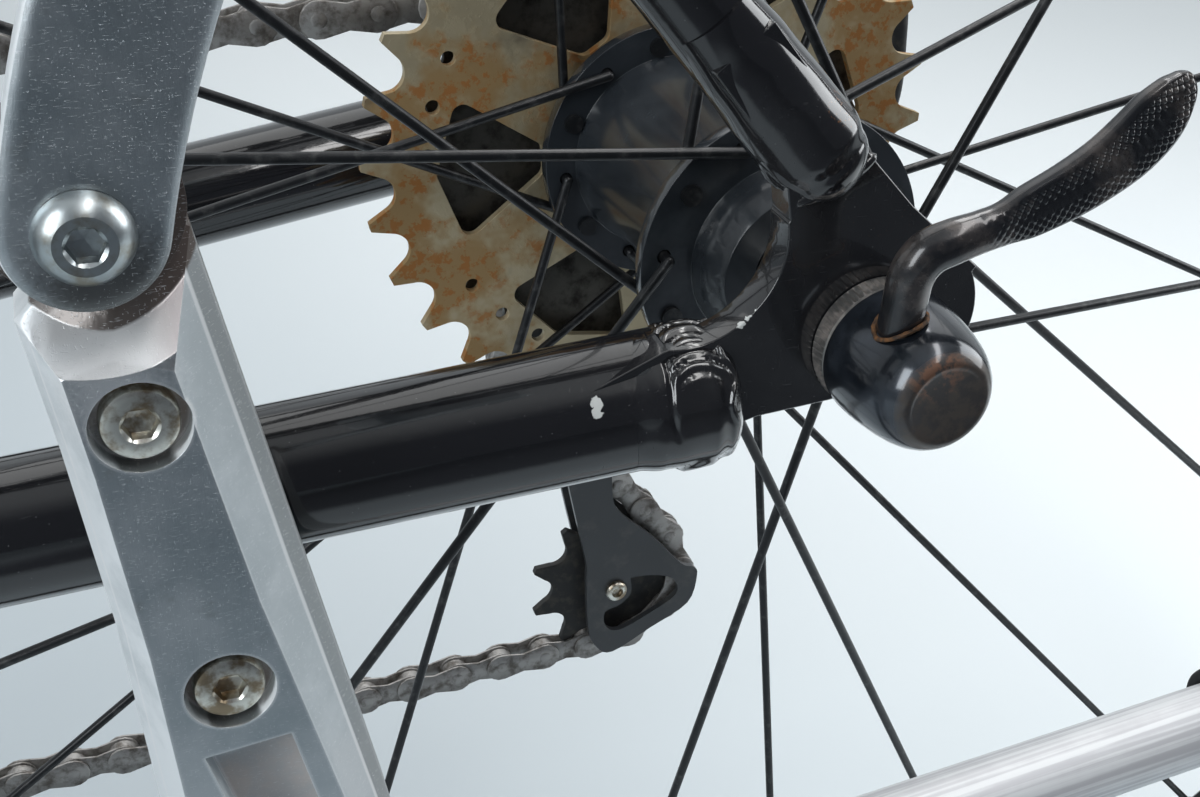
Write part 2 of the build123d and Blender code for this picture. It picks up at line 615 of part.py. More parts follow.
def make_crankset(tabs, spider_low):
    bx, bz = bracket
    nodes["crank_spindle"] = disc(bx, bz, crank_spindle_r, -72.0, 72.0)
    half = shell_length / 2
    cup = turned([(crank_spindle_r + running, -half - 3.0), (shell_bore_r + 2.0, -half - 3.0),
                  (shell_bore_r + 2.0, -half - fit), (shell_bore_r - fit, -half - fit), (shell_bore_r - fit, -8.0),
                  (crank_spindle_r + running, -8.0)])
    nodes["bottom_bracket_cup_right"] = Pos(bx, 0, bz) * cup
    nodes["bottom_bracket_cup_left"] = mirror(Pos(bx, 0, bz) * cup, about=Plane.XZ)
    arm_in, arm_out = 72.0, 86.0
    for side, sign, turn in (("right", -1, 0.0), ("left", 1, 180.0)):
        arm = outline([(0, -14.0), (crank_length, -11.0), (crank_length, 11.0), (0, 14.0)]) + Circle(16.0)
        arm = arm + Pos(crank_length, 0) * Circle(13.0) - Pos(crank_length, 0) * Circle(pedal_eye_r)
        arm = Rot(0, 0, turn) * arm - Circle(crank_spindle_r + fit)
        y_low, y_high = sorted((sign * arm_in, sign * arm_out))
        hub_low, hub_high = sorted((sign * 58.0, sign * arm_in))
        crank = slab(Pos(bx, bz) * arm, y_low, y_high)
        crank += slab(Pos(bx, bz) * (Circle(16.0) - Circle(crank_spindle_r + fit)), hub_low, hub_high)
        if side == "right":
            spider = Circle(24.0)
            for tab in tabs:
                spider += tab * (Circle(8.0) + Pos(-20.0, 0) * Rectangle(40.0, 14.0))
            for tab in tabs:
                spider -= tab * Circle(4.0 + fit)
            crank += slab(Pos(bx, bz) * (spider - Circle(crank_spindle_r + fit)), spider_low, spider_low + 5.0)
        nodes[f"crank_arm_{side}"] = crank


# Quick release
def make_quick_release():
    seat = outer_face
    top = seat + ring_t
    nodes["quick_release_ring"] = slab(Circle(ring_r) - Circle(skewer_r + fit), seat, top)
    barrel = turned([(0, top), (barrel_r, top), (barrel_r, top + 6.0), (barrel_r - 1.4, top + 11.0),
                     (barrel_end_r + 0.8, barrel_end_y - 1.2), (barrel_end_r - 0.4, barrel_end_y), (0, barrel_end_y)])
    start, corner, grip_start = (4.0, top + 8.0, 4.5), (4.2, top + 9.5, 20.0), (-8.0, top + 11.0, 24.6)
    shaft_path = FilletPolyline(start, corner, grip_start, radius=6.0)
    shaft = sweep(Plane(origin=start, z_dir=Vector(*corner) - Vector(*start)) * Circle(lever_r), path=shaft_path)
    # The grip is a leaf with a flat face outwards
    grip = outline([(-5.5, 26.6), (-10.5, 29.7), (-16.6, 32.9), (-21.1, 35.6), (-25.2, 40.0), (-28.4, 43.6),
                    (-32.1, 46.2), (-35.4, 45.0), (-37.1, 41.0), (-36.2, 36.5), (-32.6, 31.5), (-27.9, 28.8),
                    (-21.7, 25.5), (-15.3, 23.0), (-7.6, 21.6)])
    barrel -= disc(0, 0, skewer_r + fit, top - 1, top + 7.0) + bar(start, corner, lever_r + fit)
    nodes["quick_release_barrel"] = barrel
    nodes["quick_release_lever"] = shaft + slab(grip, top + 9.0, top + 13.5)
    nodes["quick_release_skewer"] = disc(0, 0, skewer_r, -seat - 11.0, top + 4.0)
    nodes["quick_release_nut"] = turned([(skewer_r + fit, -seat), (9.0, -seat), (9.0, -seat - 5.0), (6.5, -seat - 13.0),
                                         (skewer_r + fit, -seat - 13.0)])


# Side stand
def make_stand():
    back = [(113.0, 38.0), (104.0, 34.0), (99.2, 11.7), (93.7, -14.8), (82.6, -67.1), (78.0, -94.0),
            (104.0, -94.0), (117.2, -56.9), (119.7, -23.0), (123.0, 5.1), (125.8, 24.0)]
    front = [(115.0, 21.0), (108.2, 18.5), (104.8, 2.2), (100.7, -18.0), (91.0, -57.1), (84.0, -90.0),
             (102.0, -90.0), (113.8, -50.4), (115.8, -24.7), (119.2, 4.7), (121.3, 19.0)]
    body = slab(outline(back), stand_back_y, stand_mid_y)
    body += loft([side_plane(stand_mid_y) * outline(back), side_plane(stand_front_y) * outline(front)], ruled=True)
    px, pz = stand_pivot
    body -= disc(px, pz, arm_half + 3.0, arm_back_y - fit, 99.0)
    body += disc(px, pz, arm_half + 2.4, stand_back_y, arm_back_y - fit)
    # The chainstay lies in a round groove of the body and of the plate behind it
    groove = make_chainstay("left", fit)
    back_face = outline([(104.0, 26.0), (90.0, -44.0), (112.0, -48.0), (124.0, 20.0)])
    body += slab(back_face, 58.5, stand_back_y)
    body -= groove
    plate = slab(back_face, 43.0, 52.0) - groove
    seat_y = stand_front_y - 3.6
    for name, (bx, bz) in stand_bolts.items():
        body -= disc(bx, bz, stand_bolt_bore_r, seat_y, 99.0) + disc(bx, bz, stand_bolt_r + fit, 50.0, 99.0)
        plate -= disc(bx, bz, stand_bolt_r + fit, 40.0, 60.0)
        bolt = disc(bx, bz, stand_bolt_r, 42.0, seat_y + 1.0) + disc(bx, bz, 5.0, seat_y, seat_y + 3.0)
        nodes[f"stand_bolt_{name}"] = bolt - slab(Pos(bx, bz) * RegularPolygon(2.9, 6), seat_y + 0.6, 99.0)
    nodes["stand_backing_plate"] = largest(plate)
    body -= disc(px, pz, 3.0 + fit, 60.0, 99.0)
    # Pocket in the front, under the lower bolt
    body -= slab(outline([(110.4, -44.0), (98.0, -42.5), (88.0, -86.0), (99.0, -86.0)]), stand_front_y - 6.0, 99.0)
    # Hinge for the leg: two cheeks square to the leaned axis
    folded, down = Vector(*stand_folded).normalized(), Vector(*stand_down).normalized()
    axis = folded.cross(down).normalized()
    hinge = Vector(stand_hinge[0], stand_hinge_y, stand_hinge[1])
    across = Vector(0, 0, 1).cross(axis)
    for low in (-cheek_gap / 2 - cheek_t, cheek_gap / 2):
        cheek = Circle(12.0) + Pos(0, 14.0) * Rectangle(22.0, 28.0)
        body += extrude(Plane(origin=hinge + axis * low, x_dir=across, z_dir=axis) * cheek, amount=cheek_t)

    def along_axis(r, half_length):
        return extrude(Plane(origin=hinge - axis * half_length, z_dir=axis) * Circle(r), amount=2 * half_length)

    body -= along_axis(13.5, cheek_gap / 2)
    body -= along_axis(stand_pin_r + fit, 16.0)
    nodes["stand_body"] = largest(body)
    nodes["stand_hinge_pin"] = along_axis(stand_pin_r, cheek_gap / 2 + cheek_t + 1.0)
    head = along_axis(11.0, cheek_gap / 2 - free)
    neck = bar(tuple(hinge), tuple(hinge + folded * 22.0), 5.6)
    tube_end = hinge + folded * (stand_leg_length - 8.0)
    leg = head + neck + bar(tuple(hinge + folded * 19.0), tuple(tube_end), stand_leg_r)
    nodes["stand_leg"] = leg - along_axis(stand_pin_r + running, 16.0)
    foot = bar(tuple(hinge + folded * (stand_leg_length - 42.0)), tuple(hinge + folded * stand_leg_length), 10.5)
    nodes["stand_foot"] = foot - bar(tuple(hinge), tuple(tube_end), stand_leg_r + fit)
    # Upper arm: curved, from its pivot to a plate across the seatstay, where its middle line crosses the stay
    x0, _, z0 = seatstay_through
    dx, dz = x0 - arm_centre[0], z0 - arm_centre[1]
    ahead = dx * stay_c + dz * stay_s
    top_run = sqrt(ahead**2 - dx**2 - dz**2 + arm_curve_r**2) - ahead
    top = (x0 + top_run * stay_c, z0 + top_run * stay_s)
    arm_end = degrees(atan2(top[1] - arm_centre[1], top[0] - arm_centre[0]))
    r_in, r_out = arm_curve_r - arm_half, arm_curve_r + arm_half
    middle = (arm_lean + arm_end) / 2
    edges = [ThreePointArc(*[polar(r_out, a, arm_centre) for a in (arm_lean, middle, arm_end)]),
             Line(polar(r_out, arm_end, arm_centre), polar(r_in, arm_end, arm_centre)),
             ThreePointArc(*[polar(r_in, a, arm_centre) for a in (arm_end, middle, arm_lean)]),
             Line(polar(r_in, arm_lean, arm_centre), polar(r_out, arm_lean, arm_centre))]
    frame_of_plate = Pos(*top) * Rot(0, 0, seatstay_slope)
    stay_bolts = {"front": frame_of_plate * Pos(0, -13.5), "rear": frame_of_plate * Pos(0, 13.5)}
    plate_face = frame_of_plate * RectangleRounded(20.0, 40.0, 5.0)
    holes = Sketch() + [place * Circle(3.0 + fit) for place in stay_bolts.values()]
    arm = make_face(edges) + Pos(*stand_pivot) * Circle(arm_half) + plate_face
    arm -= holes + Pos(*stand_pivot) * Circle(3.0 + fit)
    nodes["stand_upper_arm"] = slab(arm, arm_back_y, arm_front_y)
    button = Pos(px, 0, pz) * turned([(0, arm_front_y), (5.2, arm_front_y), (5.2, arm_front_y + 1.4),
                                      (3.4, arm_front_y + 3.4), (0, arm_front_y + 3.4)])
    pivot_bolt = disc(px, pz, 3.0, stand_back_y - 1.0, arm_front_y + 1.0) + button
    nodes["stand_pivot_bolt"] = pivot_bolt - slab(Pos(px, pz) * RegularPolygon(2.4, 6), arm_front_y + 1.4, 99.0)
    # Clamp on the seatstay: a block in front of the stay, a strap behind it and a bolt on each side
    stay_groove = bar(seatstay_point(top_run - 40.0), seatstay_point(top_run + 40.0), seatstay_r + fit)
    stay_y = seatstay_point(top_run)[1]
    clamp_face = plate_face - holes
    nodes["stand_stay_block"] = largest(slab(clamp_face, stay_y + 1.5, arm_back_y - fit) - stay_groove)
    nodes["stand_stay_strap"] = largest(slab(clamp_face, stay_y - 11.0, stay_y - 1.5) - stay_groove)
    for name, place in stay_bolts.items():
        shank = slab(place * Circle(3.0), stay_y - 13.0, arm_front_y + 1.0)
        nodes[f"stand_stay_bolt_{name}"] = shank + slab(place * Circle(5.0), arm_front_y, arm_front_y + 3.4)


make_frame()
make_wheel()
make_drive()
make_quick_release()
make_stand()

# Export, with the mouth of the seat-post bore as the origin
os.makedirs("parts", exist_ok=True)
shift = Pos(-mouth[0], -mouth[1], -mouth[2])
for name, shape in nodes.items():
    export_step(shift * shape, f"parts/{name}.step")
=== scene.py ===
import math

import bmesh
import bpy
from mathutils import Matrix, Vector, geometry, noise


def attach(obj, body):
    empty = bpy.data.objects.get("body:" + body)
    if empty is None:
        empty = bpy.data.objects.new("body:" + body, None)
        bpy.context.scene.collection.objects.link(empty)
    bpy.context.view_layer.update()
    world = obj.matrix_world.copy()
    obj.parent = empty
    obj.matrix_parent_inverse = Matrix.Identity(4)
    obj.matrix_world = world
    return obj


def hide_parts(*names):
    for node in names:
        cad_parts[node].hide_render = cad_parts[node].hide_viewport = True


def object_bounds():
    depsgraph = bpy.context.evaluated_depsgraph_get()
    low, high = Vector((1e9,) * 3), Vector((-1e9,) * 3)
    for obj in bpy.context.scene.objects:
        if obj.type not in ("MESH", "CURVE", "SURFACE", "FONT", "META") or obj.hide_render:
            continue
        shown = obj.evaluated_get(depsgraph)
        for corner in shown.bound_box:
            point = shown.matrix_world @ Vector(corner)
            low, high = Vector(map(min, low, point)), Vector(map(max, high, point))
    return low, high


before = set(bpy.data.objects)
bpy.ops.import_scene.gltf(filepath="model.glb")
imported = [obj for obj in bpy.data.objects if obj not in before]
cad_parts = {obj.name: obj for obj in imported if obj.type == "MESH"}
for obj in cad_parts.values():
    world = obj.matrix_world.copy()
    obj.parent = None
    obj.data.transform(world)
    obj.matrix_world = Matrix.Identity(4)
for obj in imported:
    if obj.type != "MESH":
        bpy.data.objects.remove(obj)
cad_low, cad_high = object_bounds()


# Studio. The camera stands where the photographer held it, left of the wheel and above the axle.
# A pale paper sheet lies under the part. In front of it the sheet is painted dark for every ray but the
# camera's, a painted dim room, so the flat faces that look that way reflect painted shade and stay dark.
# A wide soft light and a narrow strip hang overhead, and one light stands at each end.
AXLE = Vector((285.42812, 0.0, 408.15238))   # seat-post mouth to axle, in millimetres, reversed
X, Y, Z = Vector((1, 0, 0)), Vector((0, 1, 0)), Vector((0, 0, 1))


def at(x, y, z):
    """A point in millimetres from the middle of the rear axle, as metres in the frame."""
    return (Vector((x, y, z)) - AXLE) / 1000


class Socket:
    """A shader value: sums and products of it add Math nodes to its tree."""

    def __init__(self, tree, output):
        self.tree = tree
        self.output = output

    def _math(self, operation, first, second):
        node = self.tree.nodes.new("ShaderNodeMath")
        node.operation = operation
        for place, value in zip(node.inputs, (first, second)):
            if isinstance(value, Socket):
                self.tree.links.new(value.output, place)
            else:
                place.default_value = value
        return Socket(self.tree, node.outputs[0])

    def __add__(self, other):
        return self._math("ADD", self, other)

    def __radd__(self, other):
        return self._math("ADD", other, self)

    def __sub__(self, other):
        return self._math("SUBTRACT", self, other)

    def __rsub__(self, other):
        return self._math("SUBTRACT", other, self)

    def __mul__(self, other):
        return self._math("MULTIPLY", self, other)

    def __rmul__(self, other):
        return self._math("MULTIPLY", other, self)


class Shading:
    """The nodes of one material, or of the world."""

    def __init__(self, owner):
        owner.use_nodes = True
        self.tree = owner.node_tree

    def node(self, kind, settings=None, sockets=None, out=0):
        """Adds a node, sets it up, fills or links its sockets, and gives back one of its outputs."""
        made = self.tree.nodes.new(kind)
        for name, value in (settings or {}).items():
            setattr(made, name, value)
        for name, value in (sockets or {}).items():
            if isinstance(value, Socket):
                self.tree.links.new(value.output, made.inputs[name])
            else:
                made.inputs[name].default_value = value
        return Socket(self.tree, made.outputs[out])

    def step(self, value, low, high):
        """0 below low, 1 above high, smooth between."""
        return self.node("ShaderNodeMapRange", {"interpolation_type": "SMOOTHSTEP"},
                         {"Value": value, "From Min": low, "From Max": high})

    def mix(self, share, first, second):
        """First colour to second colour."""
        return self.node("ShaderNodeMix", {"data_type": "RGBA"}, {0: share, 6: first, 7: second}, out=2)

    def part(self, vector, letter):
        """The X, Y or Z of a vector."""
        return self.node("ShaderNodeSeparateXYZ", None, {"Vector": vector}, out=letter)


class Finish(Shading):
    """A surface finish. Patterns lie in the part's own coordinates, so they move with it."""

    def __init__(self, name, **fixed):
        self.material = bpy.data.materials.new(name)
        super().__init__(self.material)
        self.shader = self.tree.nodes["Principled BSDF"]
        for word, value in fixed.items():
            self.socket(word).default_value = value
        self.place = self.node("ShaderNodeTexCoord", out="Object")

    def socket(self, word):
        """The shader's input of that name, such as base_color."""
        return self.shader.inputs["Specular IOR Level" if word == "specular" else word.replace("_", " ").title()]

    def noise(self, scale, detail=2.0, rough=0.5, stretch=None):
        """Cloudy noise from 0 to 1. Stretch multiplies its scale along X, Y and Z."""
        vector = self.place
        if stretch:
            vector = self.node("ShaderNodeMapping", None, {"Vector": vector, "Scale": stretch})
        return self.node("ShaderNodeTexNoise", None,
                         {"Vector": vector, "Scale": scale, "Detail": detail, "Roughness": rough})

    def specks(self, scale, size):
        """Small round spots, one or none to a cell."""
        cell = self.node("ShaderNodeTexVoronoi", None, {"Vector": self.place, "Scale": scale})
        return 1.0 - self.step(cell, size * 0.6, size)

    def spot(self, centre, size, ragged=0.35, soft=0.25):
        """A spot of uneven outline round a point in millimetres from the axle."""
        away = self.node("ShaderNodeVectorMath", {"operation": "DISTANCE"},
                         {0: self.place, 1: at(*centre)}, out="Value") * (1000 / size)
        edge = away + (self.noise(1600, 3) - 0.5) * (ragged * 4)
        return 1.0 - self.step(edge, 1.0 - soft, 1.0)

    def from_axis(self, x, z):
        """Metres from a line across the bicycle, which passes x and z in millimetres from the axle."""
        flat = self.node("ShaderNodeMapping", None, {"Vector": self.place, "Scale": (1, 0, 1)})
        return self.node("ShaderNodeVectorMath", {"operation": "DISTANCE"}, {0: flat, 1: at(x, 0, z)}, out="Value")

    def bump(self, height, depth):
        """Depth is in millimetres."""
        return self.node("ShaderNodeBump", None, {"Height": height, "Distance": depth / 1000}, out="Normal")

    def set(self, **varying):
        """Links what varies over the surface to the shader's inputs."""
        for word, value in varying.items():
            self.tree.links.new(value.output, self.socket(word))


def finish_nodes(finish, *names, edge=0.0):
    """Gives CAD nodes a finish, and rounds their sharp edges by a width in millimetres."""
    for name in names:
        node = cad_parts[name]
        for slot in node.material_slots:
            slot.material = finish.material
        if edge:
            weld = node.modifiers.new("joined", "WELD")
            weld.merge_threshold = 2e-6
            flat = node.modifiers.new("flat_faces", "DECIMATE")
            flat.decimate_type = "DISSOLVE"
            flat.angle_limit = math.radians(0.5)
            bevel = node.modifiers.new("rounded", "BEVEL")
            bevel.width = edge / 1000
            bevel.segments = 3
            bevel.limit_method = "ANGLE"
            bevel.angle_limit = math.radians(32)
            bevel.use_clamp_overlap = True
            bevel.harden_normals = True


def ring(centre, across, up, radius, count):
    """Points round a centre. Radius is a length or a function of the angle."""
    points = []
    for k in range(count):
        angle = math.tau * k / count
        r = radius(angle) if callable(radius) else radius
        points.append(centre + across * (r * math.cos(angle)) + up * (r * math.sin(angle)))
    return points


def skin(rings, closed=False):
    """A shell through rings of equally many points. Open ends are capped."""
    count = len(rings[0])
    points = [p for one in rings for p in one]
    faces = []
    for i in range(len(rings) if closed else len(rings) - 1):
        a, b = i * count, (i + 1) % len(rings) * count
        faces += [(a + k, a + (k + 1) % count, b + (k + 1) % count, b + k) for k in range(count)]
    if not closed:
        faces += [tuple(range(count)), tuple(range(len(points) - count, len(points)))]
    return points, faces


def turned(profile, centre, count):
    """A shell turned about an axis across the bicycle at (x, z), from (radius, y) pairs."""
    x, z = centre
    return skin([ring(Vector((x, y, z)), X, Z, r, count) for r, y in profile])


def piece(name, shells, body, finish, slot, *replaced, sharp=35):
    """Joins shells, in millimetres from the axle, to one piece on a body."""
    points, faces = [], []
    for shell_points, shell_faces in shells:
        base = len(points)
        points += [(p - AXLE) / 1000 for p in shell_points]
        faces += [[base + k for k in face] for face in shell_faces]
    mesh = bpy.data.meshes.new(name)
    mesh.from_pydata(points, [], faces)
    work = bmesh.new()
    work.from_mesh(mesh)
    bmesh.ops.recalc_face_normals(work, faces=work.faces)
    work.to_mesh(mesh)
    work.free()
    mesh.polygons.foreach_set("use_smooth", [True] * len(mesh.polygons))
    mesh.set_sharp_from_angle(angle=math.radians(sharp))
    mesh.materials.append(finish.material)
    made = bpy.data.objects.new(name, mesh)
    bpy.context.scene.collection.objects.link(made)
    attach(made, body)
    if replaced:
        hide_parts(*replaced)


camera = bpy.data.objects.new("camera", bpy.data.cameras.new("camera"))
bpy.context.scene.collection.objects.link(camera)
bpy.context.scene.camera = camera
heading, tilt, roll = (math.radians(a) for a in (20.661, 29.435, 2.317))
back = Vector((math.sin(heading) * math.cos(tilt), math.cos(heading) * math.cos(tilt), math.sin(tilt)))
level = Vector((-math.cos(heading), math.sin(heading), 0))
upward = back.cross(level)
right = level * math.cos(roll) + upward * math.sin(roll)
above = upward * math.cos(roll) - level * math.sin(roll)
turned_to = Matrix((right, above, back)).transposed().to_4x4()
camera.matrix_world = Matrix.Translation(at(115.485, 255.182, 106.851)) @ turned_to
camera.data.sensor_width = 36.0
camera.data.lens = 44.581
camera.data.clip_start = 0.01
camera.data.clip_end = 50.0
bpy.context.scene.view_settings.view_transform = "Standard"

FLOOR_Z = cad_low.z - 0.0005
FLOOR_HALF = 9.0
paper = bpy.data.meshes.new("paper")
corners = [(a * FLOOR_HALF, b * FLOOR_HALF, FLOOR_Z) for a, b in ((-1, -1), (1, -1), (1, 1), (-1, 1))]
paper.from_pydata(corners, [], [(0, 1, 2, 3)])
floor = bpy.data.objects.new("paper_floor", paper)
bpy.context.scene.collection.objects.link(floor)
sheet = Finish("paper_sheet", roughness=0.9, specular=0.1)
seen = sheet.node("ShaderNodeLightPath", out="Is Camera Ray")
forward = sheet.part(sheet.place, "X")
leftward = sheet.part(sheet.place, "Y")
# Painted shade: the metal sees a dim room painted onto the sheet where the camera sees paper
painted_dim_room = sheet.step(leftward, 0.36, 0.52) * (1.0 - sheet.step(forward, 0.0, 0.3)) * (1.0 - seen)
# Painted shade: the sheet's colour darkens towards the lower left of the picture
near = sheet.step(forward * 0.9 + leftward * 0.35 + sheet.noise(1.6, 2) * 0.12, -0.80, -0.08)
painted_falloff_tone = sheet.mix(near, (0.755, 0.795, 0.81, 1), (0.45, 0.50, 0.53, 1))
sheet.set(base_color=sheet.mix(painted_dim_room, painted_falloff_tone, (0.10, 0.11, 0.125, 1)))
paper.materials.append(sheet.material)

world = bpy.data.worlds.new("studio")
bpy.context.scene.world = world
sky = Shading(world)
direction = sky.node("ShaderNodeTexCoord", out="Generated")
dim = sky.step(sky.part(direction, "Y"), -0.25, 0.45)
light = sky.mix(dim, (0.58, 0.62, 0.65, 1), (0.09, 0.10, 0.118, 1))
light = sky.mix(sky.step(sky.part(direction, "Z"), 0.6, 1.0), light, (0.55, 0.58, 0.60, 1))
light = sky.mix(sky.node("ShaderNodeLightPath", out="Is Camera Ray"), light, (0.76, 0.80, 0.82, 1))
sky.tree.links.new(light.output, sky.tree.nodes["Background"].inputs["Color"])

for name, place, target, size, power, colour in (
        ("overhead", (-0.55, -0.82, 0.95), (-0.55, -0.6, -0.42), (2.6, 1.3), 9.5, (1.0, 0.99, 0.97)),
        ("strip", (-0.60, 0.02, 0.95), (-0.45, 0.0, -0.42), (2.4, 0.20), 12.0, (1.0, 0.99, 0.98)),
        ("rear_side", (-1.35, 0.08, 0.03), (-0.25, 0.05, -0.42), (0.7, 0.8), 8.0, (0.95, 0.98, 1.0)),
        ("front_side", (0.75, 0.55, 0.1), (-0.15, 0.05, -0.42), (0.4, 0.8), 8.0, (0.92, 0.97, 1.0))):
    lamp = bpy.data.lights.new(name, "AREA")
    lamp.shape = "RECTANGLE"
    lamp.size, lamp.size_y = size
    lamp.energy = power
    lamp.color = colour
    holder = bpy.data.objects.new(name, lamp)
    bpy.context.scene.collection.objects.link(holder)
    holder.location = place
    holder.rotation_euler = (Vector(target) - Vector(place)).to_track_quat("-Z", "Y").to_euler()


# Frame tubes: aluminium, welded, under black gloss enamel with a clear coat. Years of use have left
# hair scratches, dust, and a few chips down to the white primer on the stay and at the dropout's bay.
enamel = Finish("black_enamel", coat_weight=0.7, coat_roughness=0.03, specular=0.45)
hairs = enamel.step(enamel.noise(1.0, 1, 0.4, (260, 5200, 2600)), 0.71, 0.76)
hairs_across = enamel.step(enamel.noise(1.0, 1, 0.4, (3600, 900, 420)), 0.73, 0.78)
smear = enamel.noise(38, 4, 0.6)
dust = enamel.specks(620, 0.055) + enamel.specks(1700, 0.05) * enamel.step(smear, 0.45, 0.6)
chips = enamel.spot((47.15, 72.8, -4.0), 1.2)
for chip, size in (((47.35, 73.4, -5.3), 1.0), ((22.0, 71.4, 8.2), 1.0), ((22.8, 71.4, 6.9), 0.9),
                   ((23.7, 71.4, 5.7), 0.9), ((33.8, 71.2, -24.6), 0.9)):
    chips = chips + enamel.spot(chip, size)
wear = enamel.step(chips, 0.4, 0.6)
paint = enamel.mix(wear, (0.008, 0.008, 0.0095, 1), (0.62, 0.63, 0.61, 1))
peel = enamel.noise(420, 2) * 0.5 + hairs * -0.05 + hairs_across * -0.05 + wear * -0.8
# Orange-brown specks on the seatstay's end, and brown dots and a dull film on the dropout's face
specks = enamel.step(enamel.noise(1500, 3, 0.6), 0.55, 0.62) * enamel.spot((11.2, 71.2, 38.8), 3.6, 0.5, 0.6)
paint = enamel.mix(specks * 0.6, paint, (0.30, 0.12, 0.035, 1))
brown_dots = enamel.specks(1250, 0.075) * enamel.spot((2.0, 71.5, 16.0), 24.0, 0.3, 0.6)
paint = enamel.mix(brown_dots * 0.6, paint, (0.17, 0.085, 0.045, 1))
film_on = enamel.spot((4.0, 71.5, 6.0), 44.0, 0.1, 0.3) * enamel.step(smear, 0.35, 0.7)
grey = enamel.step(dust, 0.3, 1.0) * 0.35 + hairs * 0.015 + film_on * 0.022
dull = 0.13 + hairs * 0.12 + hairs_across * 0.12 + enamel.step(smear, 0.5, 0.75) * 0.09
enamel.set(base_color=enamel.mix(grey, paint, (0.5, 0.5, 0.5, 1)), roughness=dull + wear * 0.4 + film_on * 0.16,
           normal=enamel.bump(peel, 0.06))
finish_nodes(enamel, "chainstay_left", "chainstay_right", "seatstay_left", "seatstay_right", "chainstay_bridge",
             "seatstay_bridge", "seat_tube", "bottom_bracket_shell")
finish_nodes(enamel, "dropout_left", "dropout_right", edge=0.9)


# Welds at the dropouts: each stay ends in a smooth cap of weld metal that closes over the dropout's
# tongue. Where the bead starts, its ripples and folds show through the enamel.
def weld_cap(foot, along, out, profile, relief, seed):
    """A cap round a stay: profile holds (distance along the stay, radius) pairs."""
    side = along.cross(out).normalized()
    out = side.cross(along).normalized()
    rings = []
    steps, around = 150, 144
    low, high = profile[0][0], profile[-1][0]
    for i in range(steps + 1):
        # The rings lie closer together near the end
        s = low + (high - low) * (i / steps)**1.35
        for (s0, r0), (s1, r1) in zip(profile, profile[1:]):
            if s0 <= s <= s1:
                t = (s - s0) / (s1 - s0)
                # The end is round, and the rest blends
                r = r0 + (r1 - r0) * (math.sqrt(t * (2 - t)) if s1 == profile[1][0] else t * t * (3 - 2 * t))
                break
        points = []
        for k in range(around):
            angle = math.tau * k / around
            direct = out * math.cos(angle) + side * math.sin(angle)
            lump = noise.noise(Vector((s * 0.13, math.cos(angle) * 1.3 + seed, math.sin(angle) * 1.3))) * 0.14
            points.append(foot + along * s + direct * max(r + (lump + relief(s, angle)) * min(1.0, r / 5), 0.02))
        rings.append(points)
    return skin(rings)


def window(value, low, high, soft):
    """1 between low and high, 0 beyond a soft margin."""
    return max(0.0, min(1.0, (value - low) / soft + 1.0, (high - value) / soft + 1.0))


def signed_degrees(angle):
    """An angle of 0 to 2 pi as -180 to 180 degrees."""
    return math.degrees(angle) if angle < math.pi else math.degrees(angle) - 360


def chain_relief(s, angle):
    """Ripples on top, a raised seam at the tongue, and a bead along the bottom."""
    turn = signed_degrees(angle)
    u = (s - 9.5) / 5.0
    patch = window(turn, 46, 122, 12) * window(s, 5.2, 13.2, 1.4)
    ripple = 0.62 * abs(math.sin(math.pi * (turn / 14.0 + 1.1 * u * u + 0.3 * math.sin(turn * 0.11)))) ** 0.8
    seam = 0.6 * math.exp(-((s - 4.4 - 0.9 * math.sin(turn * 0.12)) / 0.5)**2)
    front = -0.4 * math.exp(-((s - 14.4 - 0.35 * math.sin(turn * 0.09)) / 0.5)**2)
    bead = 0.85 * math.exp(-((turn + 62 - 5 * math.sin(s * 0.8)) / 11.0)**2) * window(s, 4.0, 12.5, 1.5)
    return patch * (ripple - 0.2) + seam * window(turn, 0, 105, 15) + front * window(turn, 10, 110, 20) + bead


def seat_relief(s, angle):
    """Lengthwise folds low at the front, and a swelling above."""
    turn = signed_degrees(angle)
    folds = 0.5 * math.sin(math.pi * (turn + 2.2 * s) / 16.0)**2
    swell = 0.35 * math.exp(-((turn - 60) / 45.0)**2 - ((s - 9.0) / 4.0)**2)
    return folds * window(turn, -112, -62, 12) * window(s, 1.0, 10.0, 4.0) + swell


# The neck where the dropout's plate leaves the seatstay: x and z of the ridge's middle
NECK = [(16.8, 24.2), (13.2, 25.5), (10.0, 26.9), (6.6, 28.8), (3.4, 31.0)]


def neck_ridge(sign):
    """A low soft ridge on the dropout's face, along the seatstay's end."""
    rings = []
    steps, ridge_y = 40, 70.75
    for i in range(steps + 1):
        t = i / steps * (len(NECK) - 1)
        k = min(int(t), len(NECK) - 2)
        (x0, z0), (x1, z1) = NECK[k], NECK[k + 1]
        middle = Vector((x0 + (x1 - x0) * (t - k), ridge_y * sign, z0 + (z1 - z0) * (t - k)))
        direct = Vector((z1 - z0, 0, x0 - x1)).normalized()
        # It thins out to nothing at both ends
        fade = math.sqrt(max(0.0, 1 - (2 * i / steps - 1)**4))
        rings.append(ring(middle, direct, Y, lambda a, f=fade: max(0.04, f * (1.35 - 0.15 * math.cos(2 * a))), 20))
    return skin(rings)


